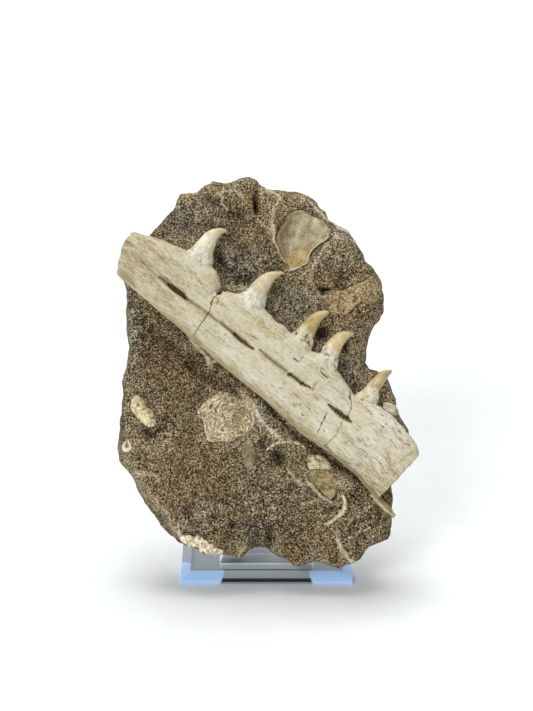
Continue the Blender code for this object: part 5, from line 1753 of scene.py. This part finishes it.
SHELL_GREY = [(0.38, (110, 91, 58)), (0.48, (152, 137, 103)), (0.58, (182, 169, 134))]
SHELL_BROWN = [(0.38, (84, 66, 44)), (0.50, (124, 104, 74)), (0.62, (160, 140, 108))]
SHELL_OCHRE = [(0.38, (124, 92, 44)), (0.50, (168, 137, 84)), (0.62, (198, 178, 136))]
SHELL_HIGHLIGHT = (206, 198, 168)
SHELL_RIM = (224, 218, 196)


def plate_material():
    """The hollow side of the large shell: grey green, brown and ochre, with a pale rim, ribs and painted
    highlights in streaks.
    """
    made, tree, inputs = new_material("large_shell", 0.5, Specular_IOR_Level=0.35)
    place = where(tree)
    fine = noise(place, 0.8 * MM, 4.0, 0.75)
    tone = 0.5 * noise(place, 5 * MM, 4.0, 0.65) + 0.5 * fine + 0.06 * painted(tree, "hole")
    colour = ramp(tone, SHELL_GREY)
    colour = blend(clamped(0.9 * painted(tree, "ochre")), colour, ramp(tone, SHELL_OCHRE))
    colour = blend(clamped(0.9 * painted(tree, "brown")), colour, ramp(tone, SHELL_BROWN))
    # Painted highlights in streaks
    colour = tinted(painted(tree, "streak_highlight") * fit(tone, 0.4, 0.6, 0.35, 0.8), colour, SHELL_HIGHLIGHT)
    colour = tinted(fit(painted(tree, "edge"), 0.2, 0.9, 0.0, 0.8), colour, SHELL_RIM)
    put(inputs["Base Color"], colour)
    bump(inputs, fine, 0.25 * MM, 0.6)
    return made


# How much of each colour a metre of the acrylic takes: little through its thickness, much along its width
ACRYLIC_TINT = (0.13, 0.47, 0.88)
ACRYLIC_DENSITY = 10.0
ACRYLIC_CLEAR = (253, 254, 255)
# Painted light of the stand: the bevels' blue and glow, the foot painted into them over a painted shadow
# line, painted shade under the base, and the strip's painted highlights and glow
PAINTED_BEVEL_BLUE = (186, 221, 255)
PAINTED_LEFT_BLUE = (170, 202, 247)
PAINTED_BEVEL_GREY = (156, 167, 173)
GLOW_BLUE = (150, 182, 255)
GLOW_STRENGTH = 0.16
PAINTED_FOOT_GREY = (184, 195, 200)
PAINTED_FOOT_DARK = (157, 168, 174)
FOOT_SHADOW_LINE = (40, 48, 52)
PAINTED_FOOT_NEAR = (208, 216, 219)
PAINTED_FOOT_FAR = (240, 246, 250)
UNDERSIDE_SHADE_GREY = (172, 179, 180)
EDGE_HIGHLIGHT_WHITE = (232, 240, 246)
CEMENT_SHADE_STOPS = [(0.3, (176, 184, 188)), (0.7, (190, 197, 200))]
FLAT_HALF = STAND_WIDTH / 2 - STAND_BEVEL
STRIP_FRONT = -33.3 * MM
GLUE_DEPTH = 26 * MM
GLUE_WIDTH = 41 * MM
GLUE_FRONT = -33.0 * MM
GLUE_THICKNESS = 0.36 * MM
GLUE_LEVEL = STAND_THICKNESS + 0.12 * MM
# The painted blue of the bevels ends at a line that runs further back on their low edge than on their high
# one
BLUE_END = -15.6 * MM
BLUE_SLANT = 2.475
# The foot of the strip is painted into the front bevel up to this half width, which grows less with height
FOOT_HALF = 20.55 * MM
FOOT_SLANT = 0.45


def acrylic(name):
    """Clear acrylic with its faint blue in the depth, and a surface that isn't perfectly even."""
    made, tree, inputs = new_material(name, 0.0, Transmission_Weight=1.0, IOR=1.49)
    place = object_place(tree)
    colour = ramp(noise(place, 9 * MM), [(0.3, ACRYLIC_CLEAR), (0.7, (255, 255, 255))])
    put(inputs["Roughness"], fit(noise(place, 5 * MM, 3.0, 0.6), 0.4, 0.7, 0.0, 0.012))
    volume = tree.nodes.new("ShaderNodeVolumeAbsorption")
    volume.inputs["Color"].default_value = (*ACRYLIC_TINT, 1)
    volume.inputs["Density"].default_value = ACRYLIC_DENSITY
    put(tree.nodes["Material Output"].inputs["Volume"], Value(volume.outputs[0]))
    split = tree.nodes.new("ShaderNodeSeparateXYZ")
    put(split.inputs[0], place)
    return made, inputs, colour, [Value(output) for output in split.outputs]


def base_material():
    """The base, in painted light: bevels of an even pale blue, grey where the foot is painted into them, and
    a greyish underside of painted shade.
    """
    made, inputs, colour, (x, y, z) = acrylic("base_acrylic")
    outward = calc("MAXIMUM", abs(x), abs(y))
    bevel = fit(outward, FLAT_HALF - 0.05 * MM, FLAT_HALF + 0.15 * MM)
    blue = bevel * fit(y + BLUE_SLANT * z, BLUE_END + 0.3 * MM, BLUE_END - 0.3 * MM)
    foot = fit(abs(x) + FOOT_SLANT * z, FOOT_HALF + 0.35 * MM, FOOT_HALF - 0.35 * MM)
    foot = foot * fit(y, STRIP_FRONT, STRIP_FRONT - 0.2 * MM)
    foot_shadow_line = foot * (fit(z, 0.8 * MM, 1.0 * MM) * fit(z, 2.5 * MM, 2.1 * MM))
    beside = -x - FLAT_HALF
    behind = y + FLAT_HALF
    leftward = fit(beside, -0.1 * MM, 0.2 * MM) * fit(behind, 0.2 * MM, 0.6 * MM)
    # Painted shade: the shaded floor seen through the underside, in grey
    colour = tinted(fit(z, 0.3 * MM, 0.1 * MM), colour, UNDERSIDE_SHADE_GREY)
    # The bevels are painted: grey, pale blue to the front and sides, and the grey foot seen in the front one
    colour = tinted(bevel, colour, PAINTED_BEVEL_GREY)
    colour = blend(blue, colour, blend(leftward, linear(PAINTED_BEVEL_BLUE), linear(PAINTED_LEFT_BLUE)))
    colour = blend(foot, colour, blend(fit(z, 1.0 * MM, 4.0 * MM), linear(PAINTED_FOOT_DARK), linear(PAINTED_FOOT_GREY)))
    # A painted shadow line along the foot in the front bevel
    put(inputs["Base Color"], tinted(foot_shadow_line, colour, FOOT_SHADOW_LINE))
    put(inputs["Transmission Weight"], 1.0 - 0.85 * bevel)
    # A painted glow: the blue light that the bevels gather from the whole base
    inputs["Emission Color"].default_value = linear(GLOW_BLUE)
    put(inputs["Emission Strength"], GLOW_STRENGTH * (blue * (1.0 - foot)))
    return made


def strip_material():
    """The strip: clear, with painted light: its front edge grey below a painted highlight line, side edges
    with a glowing painted reflection, and a grey foot with a faint painted glow.
    """
    made, inputs, colour, (x, y, z) = acrylic("strip_acrylic")
    depth = y - STRIP_FRONT
    front = fit(depth, 0.7 * MM, 0.3 * MM)
    foot = fit(z, 8.6 * MM, 8.2 * MM)
    # Painted reflections on the side edges of the foot, which also glow
    highlight_bars = fit(abs(x) + 0.2 * depth, 20.75 * MM, 20.95 * MM) * fit(z, 12 * MM, 10 * MM)
    # A painted highlight line along the top of the front edge, painted grey below it
    edge = blend(fit(z, 7.3 * MM, 7.5 * MM), linear(PAINTED_FOOT_GREY), linear(EDGE_HIGHLIGHT_WHITE))
    # The foot painted grey, lighter further back
    colour = blend(foot, colour, blend(fit(depth, 0.0, 9 * MM), linear(PAINTED_FOOT_NEAR), linear(PAINTED_FOOT_FAR)))
    colour = blend(front, colour, edge)
    put(inputs["Base Color"], tinted(highlight_bars, colour, EDGE_HIGHLIGHT_WHITE))
    inputs["Emission Color"].default_value = linear(EDGE_HIGHLIGHT_WHITE)
    # A painted glow on the foot, stronger further back, and on the side edges
    glow = foot * fit(depth, 2 * MM, 17 * MM, 0.0, 0.10)
    put(inputs["Emission Strength"], calc("MAXIMUM", glow, 0.5 * highlight_bars))
    put(inputs["Transmission Weight"], 1.0 - calc("MAXIMUM", 0.7 * foot, 0.85 * highlight_bars))
    return made


def make_glue():
    """The thin, slightly milky joint of cement under the strip's foot, grey partly as painted shade."""
    made, tree, inputs = new_material("cement", 0.35, Transmission_Weight=0.3)
    # Grey partly as painted shade under the foot
    put(inputs["Base Color"], ramp(noise(object_place(tree), 3 * MM), CEMENT_SHADE_STOPS))
    shape = bmesh.new()
    bmesh.ops.create_cube(shape, size=1)
    bmesh.ops.scale(shape, vec=(GLUE_WIDTH, GLUE_DEPTH, GLUE_THICKNESS), verts=shape.verts)
    bmesh.ops.translate(shape, vec=(0, GLUE_FRONT + GLUE_DEPTH / 2, GLUE_LEVEL), verts=shape.verts)
    bmesh.ops.bevel(shape, geom=shape.edges, offset=0.1 * MM, segments=2, affect="EDGES")
    mesh = bpy.data.meshes.new("cement_joint")
    shape.to_mesh(mesh)
    shape.free()
    mesh.materials.append(made)
    piece = bpy.data.objects.new("cement_joint", mesh)
    bpy.context.scene.collection.objects.link(piece)
    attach(piece, "root")


def dress_stand():
    for name, finish in (("stand_base", base_material()), ("stand_strip", strip_material())):
        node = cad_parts[name]
        node.data.materials.clear()
        node.data.materials.append(finish)


# Camera, light and floor

SENSOR_WIDTH_MM = 36
WORLD_COLOUR = (0.96, 0.98, 1, 1)
# The world's strength as light, as shown by acrylic and gloss, and what the camera's own view adds
WORLD_LIGHT = 0.31
WORLD_SHOWN = 0.95
WORLD_BEHIND = 0.85
# Light is thrown to and fro inside the acrylic base many times on its way through
BOUNCES = 40
FLOOR_WIDTH = 12
FLOOR_STOPS = [(0.3, (236, 239, 239)), (0.7, (239, 242, 242))]


def add_camera():
    """The camera faces the fossil squarely, at the height of the lean, and frames the photograph."""
    toward = Vector((0, -math.cos(LEAN), math.sin(LEAN)))
    upward = Vector((0, math.sin(LEAN), math.cos(LEAN)))
    middle = FOSSIL @ Vector((0, CENTRE_Y, 0))
    camera = bpy.data.cameras.new("camera")
    camera.sensor_width = SENSOR_WIDTH_MM
    camera.lens = SENSOR_WIDTH_MM / 2 * CAMERA_DISTANCE / (PHOTO_HALF_HEIGHT_PX * PIXEL)
    holder = bpy.data.objects.new("camera", camera)
    facing = Matrix((Vector((1, 0, 0)), upward, toward)).transposed().to_4x4()
    holder.matrix_world = Matrix.Translation(middle + toward * CAMERA_DISTANCE) @ facing
    bpy.context.scene.collection.objects.link(holder)
    bpy.context.scene.camera = holder


def add_sun(name, toward, strength, spread):
    """A broad soft light from this direction, even over the whole floor."""
    light = bpy.data.lights.new(name, "SUN")
    light.energy = strength
    light.angle = math.radians(spread)
    holder = bpy.data.objects.new(name, light)
    holder.rotation_euler = Vector(toward).to_track_quat("Z", "Y").to_euler()
    bpy.context.scene.collection.objects.link(holder)


def add_world():
    """A white room: soft as light, and white where the camera, the acrylic and the gloss show it."""
    world = bpy.data.worlds.new("studio")
    world.use_nodes = True
    sight = world.node_tree.nodes.new("ShaderNodeLightPath").outputs
    shown = calc("MAXIMUM", Value(sight["Is Transmission Ray"]), Value(sight["Is Glossy Ray"]))
    inputs = world.node_tree.nodes["Background"].inputs
    inputs["Color"].default_value = WORLD_COLOUR
    strength = fit(shown, 0.0, 1.0, WORLD_LIGHT, WORLD_SHOWN) + WORLD_BEHIND * Value(sight["Is Camera Ray"])
    put(inputs["Strength"], strength)
    bpy.context.scene.world = world


def add_floor():
    below = (0, 0, -0.2 * MM)
    bpy.ops.mesh.primitive_grid_add(x_subdivisions=4, y_subdivisions=4, size=FLOOR_WIDTH, location=below)
    floor = bpy.context.object
    floor.name = "floor"
    made, tree, inputs = new_material("floor_paper", 0.6)
    put(inputs["Base Color"], ramp(noise(object_place(tree), 20 * MM), FLOOR_STOPS))
    floor.data.materials.append(made)


def add_surroundings():
    """A white floor and world, a broad light from above and behind, and a weaker one from the front left."""
    scene = bpy.context.scene
    scene.view_settings.view_transform = "Standard"
    scene.cycles.max_bounces = BOUNCES
    scene.cycles.transmission_bounces = BOUNCES
    scene.cycles.glossy_bounces = BOUNCES
    add_world()
    add_sun("above", (-0.04, 0.30, 1.0), 2.4, 44)
    add_sun("front", (-0.58, -1.0, 0.78), 1.32, 22)
    add_floor()


def make_fragments():
    """The fragments that lie in the rock's face, each with its finish, relief and how ragged its edge is."""
    disc = (255, 243, 206), (246, 220, 174), (84, 62, 40)
    disc = spongy_material("porous_disc", *disc, worms=0.35, arcs=0.72)
    patch = spongy_material("porous_patch", (208, 184, 142), (104, 82, 54), (70, 54, 36), grain=0.35)
    knobs = spongy_material("knobbly_bone", (250, 238, 198), (222, 202, 154), (136, 110, 74))
    white = spongy_material("white_bone", (244, 236, 212), (216, 202, 170), (120, 98, 62))
    oval = shell_material("oval_shell", (160, 148, 114), (132, 120, 88))
    flake = shell_material("flaky_shell", (232, 222, 194), (176, 160, 126))
    tan = shell_material("tan_shell", (180, 163, 122), (140, 121, 82))
    make_fragment("bone_disc", disc, swirl, 0.05)
    make_fragment("bone_patch", patch, spongy, 0.08)
    make_fragment("bone_lump", knobs, knobbly, 0.08)
    make_fragment("bone_bead", white, hollowed, 0.03)
    make_fragment("bone_chip", white, flaky, 0.05)
    make_fragment("shell_oval", oval, flaky, 0.03)
    make_fragment("shell_flake", flake, flaky, 0.08)
    make_fragment("shell_fragment", tan, flaky, 0.06)
    make_fragment("shell_plate", plate_material(), dished, 0.015)


def main():
    add_camera()
    add_surroundings()
    make_rock()
    make_jaw()
    for number, name in enumerate(TEETH_MM):
        make_tooth(name, 100 + 10 * number)
    make_fragments()
    make_rods()
    make_splinter()
    make_glue()
    dress_stand()


main()
